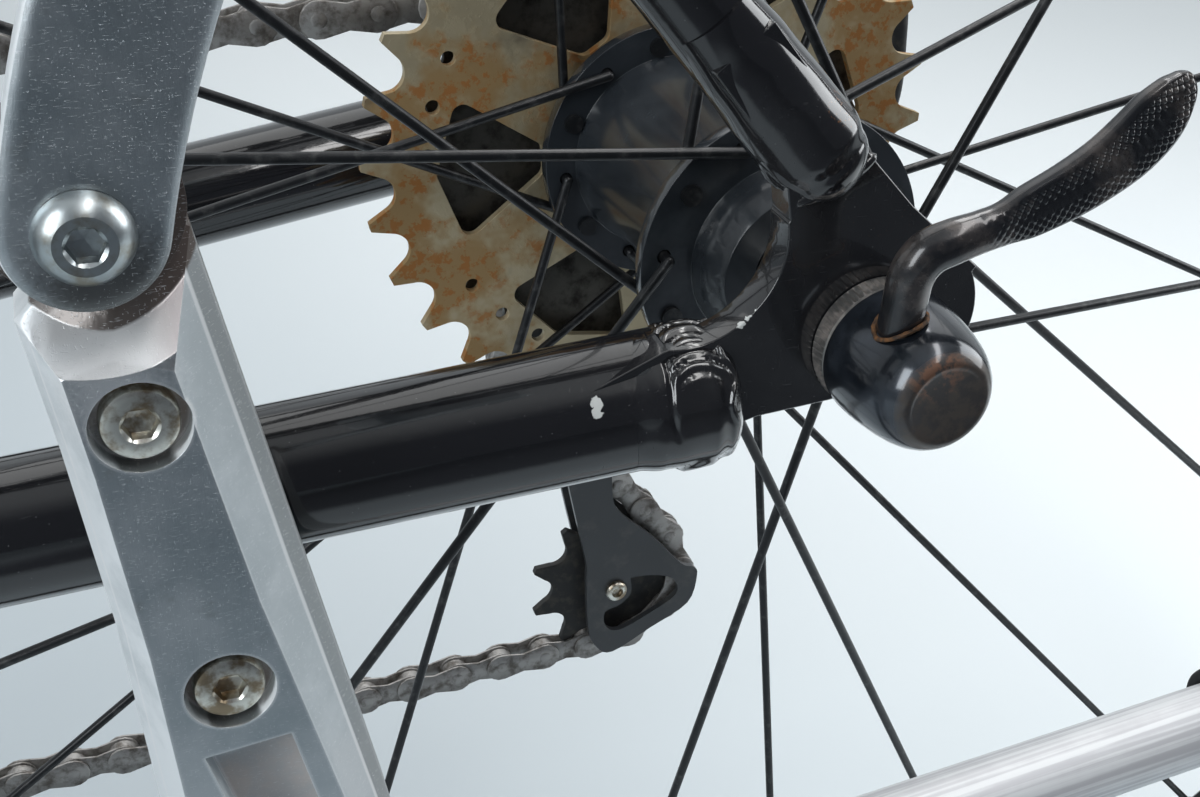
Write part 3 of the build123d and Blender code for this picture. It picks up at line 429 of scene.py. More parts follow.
# Each cap's profile, as (distance along the stay, radius)
CHAIN_CAP = [(1.6, 0.05), (5.2, 10.6), (8.0, 11.4), (12.5, 11.6), (16.0, 11.35), (20.5, 10.5)]
SEAT_CAP = [(0.6, 0.05), (6.4, 7.3), (10.0, 7.95), (18.0, 7.95), (26.0, 7.6), (36.0, 6.8)]
for side, sign in (("left", 1), ("right", -1)):
    # Where the stays' middle lines start and where they run. The caps sit a little further out.
    stay_foot = Vector((20.0, (66.5 + 0.72) * sign, -7.0))
    stay_run = Vector((1, -0.10235 * sign, -0.13254)).normalized()
    seat_foot = Vector((6.6, (67.0 + 1.2) * sign, 24.76))
    seat_run = Vector((0.64358, -0.10747 * sign, 0.76539)).normalized()
    cap = weld_cap(stay_foot, stay_run, Y * sign, CHAIN_CAP, chain_relief, 3.0 * sign)
    piece(f"weld_chainstay_{side}", [cap], "frame", enamel, "black_frame", sharp=60)
    cap = weld_cap(seat_foot, seat_run, Y * sign, SEAT_CAP, seat_relief, 8.0 * sign)
    piece(f"weld_seatstay_{side}", [cap, neck_ridge(sign)], "frame", enamel, "black_frame", sharp=60)


# Seat collar: black anodised aluminium. It sits round the seat tube's mouth, pinched by one bolt
# behind the tube.
anodised = Finish("black_anodised", metallic=0.6, specular=0.4)
rub = anodised.noise(55, 5, 0.65)
black = anodised.mix(anodised.step(rub, 0.55, 0.8), (0.014, 0.014, 0.016, 1), (0.055, 0.055, 0.058, 1))
anodised.set(base_color=black, roughness=0.3 + rub * 0.2, normal=anodised.bump(anodised.noise(1500, 3), 0.02))
finish_nodes(anodised, "seat_collar", edge=0.5)


# Side stand: cast and machined aluminium. The body is bolted to a plate behind the chainstay, a
# curved arm ties it to the seatstay, and the leg folds back under the axle on a steel pin.
STAND_PIVOT, STAND_UPPER, STAND_LOWER = (116.3, 39.0), (113.0, 11.2), (105.8, -32.8)   # x and z of its bolts
POCKET = (98.5, 84.0, -64.0)
COUNTERBORE_Y = 84.5
# Levels across the bicycle in metres: sunk under the front, the arm's face, the painted shade strip behind
# the front, and the painted highlight ridge between the two
SUNK, ARM, STRIP = (0.0870, 0.0876), (0.0885, 0.0892), (0.0821, 0.0825)
RIDGE_FROM, RIDGE_TO = (0.0821, 0.0824), (0.0826, 0.0829)
# Distances from the pivot in metres to the edges of the painted lit scoop and of the painted shadow at the
# arm's end, and how far forward the scoop's rosy end reaches
SCOOP_R, ARM_SHADOW_R, ROSY_X = (0.0202, 0.0205), (0.0146, 0.0151), (-0.1785, -0.1735)
alloy = Finish("stand_alloy", metallic=1.0, specular=0.5)
cloud = alloy.noise(42, 5, 0.62)
patch = alloy.noise(150, 4, 0.6)
brushed = alloy.noise(1.0, 3, 0.6, (2600, 2600, 320))
nicks = alloy.step(alloy.noise(1.0, 2, 0.5, (900, 900, 5200)), 0.70, 0.76) + alloy.specks(480, 0.07)
pale = alloy.mix(alloy.step(cloud, 0.35, 0.7), (0.37, 0.415, 0.44, 1), (0.54, 0.57, 0.59, 1))
pale = alloy.mix(alloy.step(patch, 0.58, 0.75) * 0.5, pale, (0.31, 0.32, 0.315, 1))
# Brown dirt and painted shade in the counterbores and the pocket: walls that face up are left pale, as if lit from
# above
facing = alloy.node("ShaderNodeNewGeometry", out="Normal")
depth = alloy.part(alloy.place, "Y")
bores = [alloy.spot((x, COUNTERBORE_Y, z), 7.6, 0.02) for x, z in (STAND_UPPER, STAND_LOWER)]
hollows = bores[0] + bores[1] + alloy.spot(POCKET, 19.0, 0.05)
skyward = alloy.part(facing, "Z")
dirt_and_painted_shade = (1.0 - alloy.step(depth, *SUNK)) * hollows * (1.0 - alloy.step(skyward, 0.3, 0.7) * 0.85)
dirt_and_shade_colour = alloy.mix(alloy.spot(POCKET, 22.0, 0.05), (0.36, 0.29, 0.25, 1), (0.62, 0.56, 0.53, 1))
pale = alloy.mix(dirt_and_painted_shade * (0.45 + alloy.step(patch, 0.35, 0.65) * 0.5), pale, dirt_and_shade_colour)
# The sides are as drawn, paler than the milled front. A strip behind them is painted shade for a bevel
# face that is not modelled, and the ridge between is a painted highlight line
sideways = alloy.part(facing, "X")
flank = alloy.step(sideways * sideways, 0.2, 0.4)
strip = flank * (1.0 - alloy.step(depth, *STRIP)) * alloy.step(sideways * -1.0, 0.1, 0.3)
ridge = flank * alloy.step(depth, *RIDGE_FROM) * (1.0 - alloy.step(depth, *RIDGE_TO))
mottled = alloy.step(cloud + (patch - 0.5) * 0.5, 0.38, 0.66)
drawn = alloy.mix(mottled, (0.50, 0.545, 0.565, 1), (0.59, 0.63, 0.65, 1))
drawn = alloy.mix(strip * 0.85, drawn, (0.30, 0.32, 0.325, 1))
# Painted light: the sides that face forward, towards the front lamp, are painted near white
painted_lit_side = alloy.step(sideways, 0.3, 0.6)
drawn = alloy.mix(painted_lit_side * (0.45 + alloy.step(cloud, 0.4, 0.6) * 0.4), drawn, (0.93, 0.95, 0.96, 1))
pale = alloy.mix(flank, pale, drawn)
# Painted highlight: the facet under the arm is painted near white as a lit scoop, rosy at its rear.
# Painted shadow: a dark brown band follows the arm's end.
arm_face = alloy.step(depth, *ARM)
from_pivot = alloy.from_axis(*STAND_PIVOT)
painted_lit_scoop = (1.0 - alloy.step(from_pivot, *SCOOP_R)) * (1.0 - flank) * (1.0 - arm_face)
painted_arm_shadow = (1.0 - alloy.step(from_pivot, *ARM_SHADOW_R)) * (1.0 - arm_face)
rosy = 1.0 - alloy.step(alloy.part(alloy.place, "X"), *ROSY_X)
pale = alloy.mix(painted_lit_scoop, pale, alloy.mix(rosy, (0.97, 0.97, 0.97, 1), (0.66, 0.61, 0.61, 1)))
pale = alloy.mix(painted_arm_shadow * 0.92, pale, (0.075, 0.052, 0.040, 1))
# Edges are rubbed bright, and a soft spot over the upper bolt is made pale. The ridge line is a
# painted highlight, and the arm carries a painted shadow under its bolt.
softened = alloy.node("ShaderNodeBevel", {"samples": 6}, {"Radius": 0.0009}, out="Normal")
edge = 1.0 - alloy.node("ShaderNodeVectorMath", {"operation": "DOT_PRODUCT"}, {0: softened, 1: facing},
                        out="Value")
edge = alloy.step(edge + (patch - 0.5) * 0.02, 0.012, 0.05) * (1.0 - painted_arm_shadow) * (1.0 - painted_lit_scoop)
brow = alloy.spot((115.5, 88.0, 16.5), 10.0, 0.1, 0.8)
painted_shadow_under_bolt = arm_face * alloy.spot((114.5, 92.0, 32.0), 12.5, 0.1, 0.75)
pale = alloy.mix(painted_shadow_under_bolt * 0.9, pale, (0.15, 0.15, 0.145, 1))
rubbed_edges_and_highlights = edge * (0.6 - arm_face * 0.25) + ridge * 0.6 + brow * 0.9 * (1.0 - arm_face) * (1.0 - painted_lit_scoop)
pale = alloy.mix(rubbed_edges_and_highlights, pale, (0.93, 0.93, 0.93, 1))
# The arm's edges are rounded, and the flat facet shades as a round scoop that leans up and back
hollow = painted_lit_scoop * (1.0 - painted_arm_shadow)
rounded = alloy.node("ShaderNodeBevel", {"samples": 8}, {"Radius": 0.0028}, out="Normal")
leant = alloy.mix(hollow, alloy.mix(arm_face, facing, rounded), (-0.66, 0.52, 0.54, 1))
leant = alloy.node("ShaderNodeVectorMath", {"operation": "NORMALIZE"}, {0: leant}, out="Vector")
scratched = alloy.step(alloy.noise(1.0, 1, 0.4, (900, 900, 9000)), 0.68, 0.72)
scratched = scratched + alloy.step(alloy.noise(1.0, 1, 0.4, (5200, 900, 2400)), 0.70, 0.74)
marks = alloy.step(nicks, 0.2, 1.0) * 0.5 + scratched * 0.4
relief = brushed * 0.35 + patch * 0.4 + nicks * -0.5 + scratched * -0.4
metal = 1.0 - dirt_and_painted_shade * 0.75 - flank * (0.5 + painted_lit_side * 0.25) - painted_arm_shadow * 0.7 - hollow * 0.6
rough = 0.25 + cloud * 0.16 + brushed * 0.10 + nicks * 0.1 + flank * 0.12 + dirt_and_painted_shade * 0.3 - painted_lit_scoop * 0.17
alloy.set(base_color=alloy.mix(marks, pale, (0.86, 0.87, 0.88, 1)), metallic=metal, roughness=rough,
          normal=alloy.node("ShaderNodeBump", None, {"Height": relief, "Distance": 0.00003, "Normal": leant},
                            out="Normal"))
finish_nodes(alloy, "stand_body", edge=0.7)
finish_nodes(alloy, "stand_upper_arm", edge=1.7)
finish_nodes(alloy, "stand_backing_plate", "stand_stay_block", "stand_stay_strap", edge=0.6)

# The leg: its bands of polish run along it as it lies folded, a little off level
LEG_TILT = math.radians(-6.14)
polished = Finish("polished_leg", metallic=0.3)
polished.place = polished.node("ShaderNodeMapping", None,
                               {"Vector": polished.place, "Rotation": (0.0, LEG_TILT, 0.0)})
streak = polished.noise(1.0, 2, 0.5, (14, 900, 900))
smudge = polished.noise(90, 4, 0.6)
bands = polished.step(streak * 0.8 + smudge * 0.2, 0.38, 0.60)
polished.set(base_color=polished.mix(bands, (0.54, 0.54, 0.56, 1), (0.73, 0.74, 0.75, 1)),
             roughness=0.36 + streak * 0.18, normal=polished.bump(streak, 0.03))
finish_nodes(polished, "stand_leg")


# Stand bolts: zinc-plated steel with hexagon sockets that have caught a little brown dirt. The
# arm's has a button head, the two in the body sit in counterbores, two more clamp the seatstay.
plated = Finish("plated_steel", metallic=1.0)
grime = plated.noise(260, 4, 0.6)
deep = 1.0 - plated.step(plated.part(plated.place, "Y"), 0.0885, 0.0915)
zinc = plated.mix(plated.step(grime, 0.45, 0.7), (0.46, 0.50, 0.51, 1), (0.32, 0.30, 0.25, 1))
brown = plated.mix(plated.step(grime, 0.40, 0.62), (0.78, 0.77, 0.70, 1), (0.30, 0.235, 0.16, 1))
plated.set(base_color=plated.mix(deep, zinc, brown),
           roughness=0.22 + grime * 0.22, normal=plated.bump(plated.noise(900, 3), 0.015))


def socket_bolt(name, centre, seat, dome, key, end, replaced):
    """A bolt along Y: dome is its head's (radius, height) profile, key the socket's half width."""
    x, z = centre

    def hexagon(angle):
        return key / math.cos((angle % (math.pi / 3)) - math.pi / 6)

    top, shank = seat + dome[-1][1], 2.55
    # From the socket's floor out over the head, and down the shank to its chamfered end
    profile = [(0.05, top - 2.6), (hexagon, top - 2.2), (hexagon, top - 0.35), (key * 1.24, top)]
    profile += [(r, seat + height) for r, height in reversed(dome)]
    profile += [(shank, seat), (shank, end + 0.5), (shank - 0.5, end)]
    rings = [ring(Vector((x, y, z)), X, Z, r, 60) for r, y in profile]
    piece(name, [skin(rings)], "frame", plated, "bolt_steel", replaced, sharp=28)


BUTTON = [(5.6, 0.0), (5.75, 0.7), (5.4, 1.7), (4.6, 2.7), (3.6, 3.3)]
SOCKET_HEAD = [(5.0, 0.0), (5.0, 2.3), (4.8, 2.75), (4.3, 3.0)]
socket_bolt("stand_pivot_button", STAND_PIVOT, 92.05, BUTTON, 2.0, 71.0, "stand_pivot_bolt")
socket_bolt("stand_upper_bolt", STAND_UPPER, 84.45, SOCKET_HEAD, 2.05, 42.0, "stand_bolt_upper")
socket_bolt("stand_lower_bolt", STAND_LOWER, 84.45, SOCKET_HEAD, 2.05, 42.0, "stand_bolt_lower")
finish_nodes(plated, "stand_stay_bolt_front", "stand_stay_bolt_rear", "stand_hinge_pin", edge=0.4)

rubber = Finish("black_rubber", specular=0.35)
scuff = rubber.noise(90, 5, 0.65)
rubber.set(base_color=rubber.mix(rubber.step(scuff, 0.5, 0.75), (0.018, 0.018, 0.019, 1), (0.075, 0.072, 0.068, 1)),
           roughness=0.62 + scuff * 0.25, normal=rubber.bump(rubber.noise(1200, 4), 0.05))
finish_nodes(rubber, "stand_foot", edge=1.2)


# Quick release: a steel skewer through the hollow axle. Its serrated ring bites the dropout, and
# the browned barrel holds the bent lever, which ends in a leaf grip with fine knurling.
browned = Finish("browned_steel", metallic=0.5, coat_weight=0.7, coat_roughness=0.1)
rubbed = browned.noise(85, 5, 0.62)
worn_end = browned.step(browned.part(browned.place, "Y"), 0.0926, 0.0937)
rust_noise = browned.noise(420, 4, 0.65)
steel = browned.mix(browned.step(rubbed, 0.36, 0.68), (0.010, 0.013, 0.018, 1), (0.042, 0.050, 0.064, 1))
steel = browned.mix(worn_end * (0.55 + browned.step(rust_noise, 0.4, 0.6) * 0.45), steel, (0.062, 0.049, 0.040, 1))
rim_arc = browned.step(rust_noise, 0.44, 0.56) * browned.spot((2.5, 94.0, 5.8), 5.4, 0.25, 0.6)
steel = browned.mix(rim_arc * worn_end * 0.7, steel, (0.20, 0.095, 0.055, 1))
browned.set(base_color=browned.mix(browned.specks(900, 0.07) * 0.5, steel, (0.16, 0.10, 0.06, 1)),
            roughness=0.12 + rubbed * 0.18 + worn_end * 0.28,
            normal=browned.bump(rubbed * 0.4 + rust_noise * 0.25, 0.05))

BARREL = [(0.3, 75.9), (11.0, 75.9), (11.3, 76.3), (11.4, 77.6), (11.35, 80.0), (11.1, 83.0), (10.7, 86.0),
          (10.2, 88.6), (9.6, 90.6), (8.9, 92.1), (8.1, 93.2), (7.3, 93.95), (6.9, 94.2), (6.5, 94.3),
          (6.1, 94.2), (5.6, 94.1), (0.3, 94.1)]
piece("release_barrel", [turned(BARREL, (0.0, 0.0), 96)], "frame", browned, "release_black",
      "quick_release_barrel", sharp=50)

rusty = Finish("rust_bloom", metallic=0.2)
flakes = rusty.noise(700, 5, 0.7)
rusty.set(base_color=rusty.mix(rusty.step(flakes, 0.38, 0.66), (0.030, 0.020, 0.015, 1), (0.22, 0.10, 0.035, 1)),
          roughness=0.6 + flakes * 0.3, normal=rusty.bump(flakes, 0.2))

# A lip of rust round the lever's shaft, where it leaves the barrel
shaft_foot, lip_r, barrel_r = Vector((4.1, 84.9, 10.3)), 3.75, 11.0
lip_axis = Vector((0.2, 1.5, 15.5)).normalized()
lip_across = lip_axis.cross(X).normalized()
lip_rings = []
for k in range(60):
    angle = math.tau * k / 60
    # The lip follows the barrel's curve, so it dips at its left and right
    direct = X * math.cos(angle) + lip_across * math.sin(angle)
    middle = shaft_foot + direct * lip_r
    middle.z = math.sqrt(max(barrel_r**2 - middle.x**2, 1.0)) + 0.05
    lip_rings.append(ring(middle, direct, lip_axis,
                          lambda a, k=k: 0.38 + 0.16 * noise.noise(Vector((k * 0.4, a, 0))), 10))
piece("release_lip", [skin(lip_rings, closed=True)], "frame", rusty, "release_black", sharp=60)

serrated = Finish("serrated_steel", metallic=0.8)
mark = serrated.noise(300, 4)
serrated.set(base_color=serrated.mix(serrated.step(mark, 0.4, 0.7), (0.26, 0.25, 0.24, 1), (0.62, 0.56, 0.52, 1)),
             roughness=0.28 + mark * 0.2, normal=serrated.bump(mark, 0.02))


def serration(angle):
    """The ring's outline: 64 teeth, half a millimetre deep."""
    return 11.15 - 0.5 * abs(2 * ((angle * 64 / math.tau) % 1.0) - 1)


serrated_rings = [ring(Vector((0, y, 0)), X, Z, radius, 256) for y, radius in (
    (71.55, 2.7), (71.55, 10.2), (71.8, 10.9), (72.4, serration), (74.6, serration), (75.2, 10.9),
    (75.6, 10.3), (75.95, 10.3), (75.95, 2.7))]
piece("release_ring", [skin(serrated_rings, closed=True)], "frame", serrated, "release_black", "quick_release_ring")

blacked = Finish("blacked_lever", metallic=0.4, coat_weight=0.5, coat_roughness=0.08)
handled = blacked.noise(120, 5, 0.6)
touched = blacked.step(handled, 0.42, 0.74) * 0.85
blacked.set(base_color=blacked.mix(touched, (0.014, 0.015, 0.018, 1), (0.125, 0.105, 0.095, 1)),
            roughness=0.16 + handled * 0.2, normal=blacked.bump(handled, 0.03))

# Middle line of the lever: x, y, z, half width across the leaf, half thickness
LEVER = [(4.0, 84.1, 5.0, 3.3, 3.3), (4.1, 85.2, 13.0, 3.35, 3.35), (4.0, 85.8, 18.0, 3.4, 3.4),
         (2.2, 86.3, 21.3, 3.45, 3.4), (-1.4, 86.8, 23.0, 3.4, 3.3), (-5.6, 87.1, 24.2, 3.2, 2.9),
         (-9.0, 87.3, 25.2, 3.3, 2.3), (-12.9, 87.4, 26.7, 4.1, 2.0), (-19.1, 87.5, 29.4, 4.6, 2.0),
         (-24.5, 87.5, 32.4, 5.0, 2.0), (-28.9, 87.5, 35.8, 5.4, 1.95), (-32.3, 87.5, 39.6, 5.2, 1.8),
         (-34.7, 87.4, 43.0, 3.7, 1.5), (-35.8, 87.4, 44.9, 2.0, 1.1), (-36.3, 87.4, 45.7, 0.5, 0.5)]
# Along that line: where the round shaft starts to flatten to the leaf, over what length, and the knurl
LEAF_START, LEAF_EASE, KNURL_END, KNURL_PITCH = 25.0, 8.0, 66.5, 1.5


def smooth_line(rows, count):
    """Catmull-Rom points through rows of numbers."""
    made = []
    for i in range(count + 1):
        t = i / count * (len(rows) - 1)
        k = min(int(t), len(rows) - 2)
        f = t - k
        p0, p1, p2, p3 = (rows[min(max(k + j, 0), len(rows) - 1)] for j in (-1, 0, 1, 2))
        made.append([0.5 * (2 * b + (c - a) * f + (2 * a - 5 * b + 4 * c - d) * f * f
                            + (3 * b - a - 3 * c + d) * f**3) for a, b, c, d in zip(p0, p1, p2, p3)])
    return made


line = smooth_line(LEVER, 330)
lever_rings = []
travelled = 0.0
for i, row in enumerate(line):
    here = Vector(row[:3])
    ahead = Vector(line[min(i + 1, len(line) - 1)][:3]) - Vector(line[max(i - 1, 0)][:3])
    along = ahead.normalized()
    if i:
        travelled += (here - Vector(line[i - 1][:3])).length
    across = along.cross(Y).normalized()
    face = across.cross(along).normalized()
    half, thick = max(row[3], 0.05), max(row[4], 0.05)
    flat = min(1.0, max(0.0, (travelled - LEAF_START) / LEAF_EASE))
    # The leaf's section is squarer than the shaft's
    power = 1.0 - 0.42 * flat
    points = []
    for k in range(112):
        angle = math.tau * k / 112
        c, s = math.cos(angle), math.sin(angle)
        u = half * math.copysign(abs(c) ** power, c)
        v = thick * math.copysign(abs(s) ** power, s)
        inside = max(0.0, 1 - (abs(u) / (half * 0.84)) ** 8) * flat
        inside *= min(1.0, max(0.0, (KNURL_END - travelled) / 2))
        one, other = (abs(math.sin(math.pi * (travelled + w) / KNURL_PITCH)) for w in (u, -u))
        v += math.copysign(1, s) * (one * other * 0.5 - 0.3) * inside
        points.append(here + across * u + face * v)
    lever_rings.append(points)
piece("release_lever", [skin(lever_rings)], "frame", blacked, "release_black", "quick_release_lever", sharp=60)
finish_nodes(browned, "quick_release_nut", edge=0.6)
finish_nodes(plated, "quick_release_skewer")


# Wheel: a black hub with a bulged barrel, black spokes laced two over and one under, a black
# box rim with machined brake faces, and a town tyre.
gloss = Finish("hub_gloss", coat_weight=0.6, coat_roughness=0.14, specular=0.5)
film = gloss.noise(70, 5, 0.6)
gloss.set(base_color=gloss.mix(gloss.step(film, 0.4, 0.75), (0.022, 0.026, 0.031, 1), (0.046, 0.053, 0.060, 1)),
          roughness=0.16 + film * 0.08, normal=gloss.bump(gloss.noise(600, 3), 0.012))
finish_nodes(gloss, "hub_shell", edge=0.35)

spoke = Finish("black_spoke", metallic=0.5, coat_weight=0.3, coat_roughness=0.2)
spoke_film = spoke.noise(300, 4, 0.6)
spoke.set(base_color=spoke.mix(spoke.step(spoke_film, 0.5, 0.8), (0.014, 0.015, 0.017, 1), (0.075, 0.075, 0.075, 1)),
          roughness=0.3 + spoke_film * 0.25, normal=spoke.bump(spoke_film, 0.01))
finish_nodes(spoke, "spokes_left", "spokes_right")

rim_finish = Finish("rim_black", metallic=0.7)
from_hub = rim_finish.from_axis(0.0, 0.0)
brake = rim_finish.step(from_hub, 0.3052, 0.3060) * (1.0 - rim_finish.step(from_hub, 0.3160, 0.3166))
lathe = rim_finish.node("ShaderNodeTexNoise", {"noise_dimensions": "1D"},
                        {"W": from_hub, "Scale": 9000.0, "Detail": 2.0})
cast = rim_finish.noise(60, 4)
painted_rim = rim_finish.mix(cast, (0.014, 0.014, 0.015, 1), (0.03, 0.03, 0.031, 1))
brake_face = rim_finish.mix(cast, (0.46, 0.46, 0.46, 1), (0.34, 0.33, 0.32, 1))
rim_finish.set(base_color=rim_finish.mix(brake, painted_rim, brake_face),
               roughness=0.36 + cast * 0.15, normal=rim_finish.bump(lathe * brake, 0.02))
finish_nodes(rim_finish, "rim", edge=0.4)

# The tyre's tread has two rings cut beside its centre, slanted side grooves and a ribbed edge
SEGMENTS = 540
TYRE_MID_R, HALF_TYRE, TREAD_R, RIB_R = 328.5, 18.5, 337.0, 331.0
GROOVE, RING_CUT, RIB = 0.9, 0.55, 0.35   # depths
bead = [(311.2, 9.6), (317.0, 9.7), (319.2, 13.4)]
crown = [math.radians(-22 + 8 * k) for k in range(1, 28)]
contour = [(r, -y) for r, y in bead]
contour += [(TYRE_MID_R + HALF_TYRE * math.sin(a), -HALF_TYRE * math.cos(a)) for a in crown]
contour += reversed(bead)
tyre_rings = []
for i in range(SEGMENTS):
    turn = math.tau * i / SEGMENTS
    outward = Vector((math.cos(turn), 0, math.sin(turn)))
    points = []
    for r, y in contour:
        cut = 0.0
        if r > TREAD_R:
            slant = (i + abs(y) * 0.9) % 6
            cut = GROOVE if slant < 1.6 and abs(y) > 3.2 else 0.0
            if 2.0 < abs(y) < 4.1:
                cut = max(cut, RING_CUT)
        elif r > RIB_R:
            cut = RIB if i % 2 else 0.0
        points.append(outward * (r - cut) + Y * y)
    tyre_rings.append(points)
tread = Finish("tyre_rubber", specular=0.3)
dusty = tread.noise(45, 5, 0.65)
tread.set(base_color=tread.mix(tread.step(dusty, 0.45, 0.75), (0.016, 0.016, 0.017, 1), (0.07, 0.066, 0.06, 1)),
          roughness=0.66 + dusty * 0.22, normal=tread.bump(tread.noise(1400, 4), 0.06))
piece("tyre_tread", [skin(tyre_rings, closed=True)], "wheel", tread, "tyre", "tyre", sharp=40)

bearing = Finish("axle_steel", metallic=1.0)
worn = bearing.noise(240, 4)
bearing.set(base_color=bearing.mix(worn, (0.35, 0.35, 0.34, 1), (0.16, 0.15, 0.14, 1)),
            roughness=0.28 + worn * 0.25, normal=bearing.bump(worn, 0.02))
finish_nodes(bearing, "axle", "bottom_bracket_cup_left", "bottom_bracket_cup_right", "crank_spindle", edge=0.3)
finish_nodes(spoke, "valve")


# Cassette: the largest sprocket is plated steel gone tan, with orange rust blooms. The smaller
# ones, the carrier and the lockring are dark with old oil and road dirt.
tan = Finish("worn_sprocket", metallic=0.55)
bloom = tan.step(tan.noise(66, 4, 0.6), 0.41, 0.60)
spots = tan.step(tan.noise(330, 5, 0.68), 0.47, 0.59)
oil = tan.step(tan.noise(60, 4, 0.6), 0.58, 0.74)
plate = tan.mix(tan.noise(30, 4), (0.42, 0.35, 0.22, 1), (0.58, 0.50, 0.345, 1))
plate = tan.mix(bloom * 0.8, plate, (0.34, 0.205, 0.075, 1))
plate = tan.mix(tan.step(bloom * 0.6 + spots * 0.6, 0.7, 1.15) * 0.75, plate, (0.40, 0.155, 0.035, 1))
tan.set(base_color=tan.mix(oil * 0.5, plate, (0.05, 0.045, 0.04, 1)), roughness=0.42 + bloom * 0.3 + spots * 0.1,
        normal=tan.bump(spots * 0.6 + tan.noise(900, 4) * 0.4, 0.06))
finish_nodes(tan, "cassette_large_sprocket", edge=0.25)

oily = Finish("oily_steel", metallic=0.75)
grease = oily.noise(180, 5, 0.65)
oily.set(base_color=oily.mix(oily.step(grease, 0.42, 0.7), (0.09, 0.085, 0.075, 1), (0.022, 0.019, 0.016, 1)),
         roughness=0.3 + grease * 0.35, normal=oily.bump(grease, 0.12))
finish_nodes(oily, "cassette_small_sprockets", "cassette_carrier", "cassette_lockring", edge=0.25)


# Chain: riveted steel links, 112 of them, with worn plates and black oil between them. The loop is
# worked out as arcs and straight runs, with slack between the sprocket and the chainring.
PITCH = 12.7
CHAIN_Y = -57.45
BRACKET, GUIDE, TENSION = (431.614, -70.0), (4.0, -60.2), (-7.0, -139.5)   # x and z of crank axis and pulleys
SAG = 2000.0


def wheel_r(teeth):
    """The pitch radius."""
    return PITCH / (2 * math.sin(math.pi / teeth))


def loop_pins():
    """The x and z of every pin, at even distances round the loop."""
    # Centre, radius, side that the chain passes on, and teeth. A slack run is an arc of a huge wheel
    slack = math.tau * SAG / PITCH
    wheels = [((0.0, 0.0), wheel_r(12), 1, 12), (GUIDE, wheel_r(10), -1, 10), (TENSION, wheel_r(10), 1, 10),
              ((250.0, -172.0 + SAG), SAG, 1, slack), (BRACKET, wheel_r(48), 1, 48),
              ((200.0, 16.6 + SAG), SAG, -1, slack)]
    # The angles at which the chain leaves each wheel and arrives at the next
    leave, arrive = [0.0] * len(wheels), [0.0] * len(wheels)
    for i in range(len(wheels)):
        j = (i + 1) % len(wheels)
        (c1, r1, s1, _), (c2, r2, s2, _) = wheels[i], wheels[j]
        dx, dz = c2[0] - c1[0], c2[1] - c1[1]
        heading = math.atan2(dz, dx) + math.asin((s1 * r1 - s2 * r2) / math.hypot(dx, dz))
        leave[i] = heading - math.pi / 2 * s1
        arrive[j] = heading - math.pi / 2 * s2
    # Arcs and straight runs in turn, each with its length in pitches
    spans = []
    for i, (c, r, s, n) in enumerate(wheels):
        j = (i + 1) % len(wheels)
        turn = (leave[i] - arrive[i]) % math.tau if s > 0 else -((arrive[i] - leave[i]) % math.tau)
        spans.append((c, r, arrive[i], turn, n * abs(turn) / math.tau))
        c2, r2 = wheels[j][:2]
        a = (c[0] + r * math.cos(leave[i]), c[1] + r * math.sin(leave[i]))
        b = (c2[0] + r2 * math.cos(arrive[j]), c2[1] + r2 * math.sin(arrive[j]))
        spans.append((a, b, None, None, math.hypot(b[0] - a[0], b[1] - a[1]) / PITCH))
    total = sum(span[-1] for span in spans)
    count = round(total)
    pins, done = [], 0.0
    for p, q, angle, turn, length in spans:
        while len(pins) < count and len(pins) * total / count < done + length:
            t = (len(pins) * total / count - done) / length
            if angle is None:
                pins.append((p[0] + (q[0] - p[0]) * t, p[1] + (q[1] - p[1]) * t))
            else:
                pins.append((p[0] + q * math.cos(angle + turn * t), p[1] + q * math.sin(angle + turn * t)))
        done += length
    return pins


def across_chain(profile, centre, count):
    """A shell turned about an axis across the chain, from (radius, distance from its middle) pairs."""
    return turned([(r, CHAIN_Y + y) for r, y in profile], centre, count)


ROLLER = [(3.0, -1.24), (3.84, -1.0), (3.84, 1.0), (3.0, 1.24)]
PIN = [(1.3, -3.3), (1.75, -3.1), (1.75, 3.1), (1.3, 3.3)]
PLATE_R, WAIST = 4.15, 2.9
INNER_PLATE, OUTER_PLATE = (1.25, 2.08), (2.15, 3.0)   # near and far face, from the chain's middle
pins = loop_pins()
links = []
for i, (x0, z0) in enumerate(pins):
    x1, z1 = pins[(i + 1) % len(pins)]
    middle = Vector(((x0 + x1) / 2, 0, (z0 + z1) / 2))
    along = Vector((x1 - x0, 0, z1 - z0)).normalized()
    rise = Vector((-along.z, 0, along.x))
    half = math.hypot(x1 - x0, z1 - z0) / 2
    near, far = OUTER_PLATE if i % 2 else INNER_PLATE
    shape = []
    for end in (1, -1):
        for a in range(-100, 101, 25):
            angle = math.radians(a if end > 0 else 180 + a)
            shape.append((end * half + PLATE_R * math.cos(angle), PLATE_R * math.sin(angle)))
        shape.append((0.0, WAIST * end))
    for sign in (1, -1):
        rings = []
        # The plate's rim is rounded: its round ends and its waist shrink at both faces
        for y, shrink in ((near, 0.94), (near + 0.15, 1.0), (far - 0.2, 1.0), (far, 0.93)):
            points = []
            for u, v in shape:
                pin = math.copysign(half, u)
                reach = u if abs(u) < half else pin + (u - pin) * shrink
                points.append(middle + along * reach + rise * (v * shrink) + Y * (CHAIN_Y + sign * y))
            rings.append(points)
        links.append(skin(rings))
    links.append(across_chain(ROLLER, (x0, z0), 16))
    links.append(across_chain(PIN, (x0, z0), 12))
chain_steel = Finish("chain_steel", metallic=0.85)
chain_oil = chain_steel.noise(240, 5, 0.65)
oiled = chain_steel.step(chain_oil, 0.42, 0.68)
chain_steel.set(base_color=chain_steel.mix(oiled, (0.40, 0.385, 0.37, 1), (0.15, 0.135, 0.12, 1)),
                roughness=0.32 + chain_oil * 0.35, normal=chain_steel.bump(chain_oil, 0.12))
piece("chain_links", links, "frame", chain_steel, "chain_steel", "chain", sharp=40)


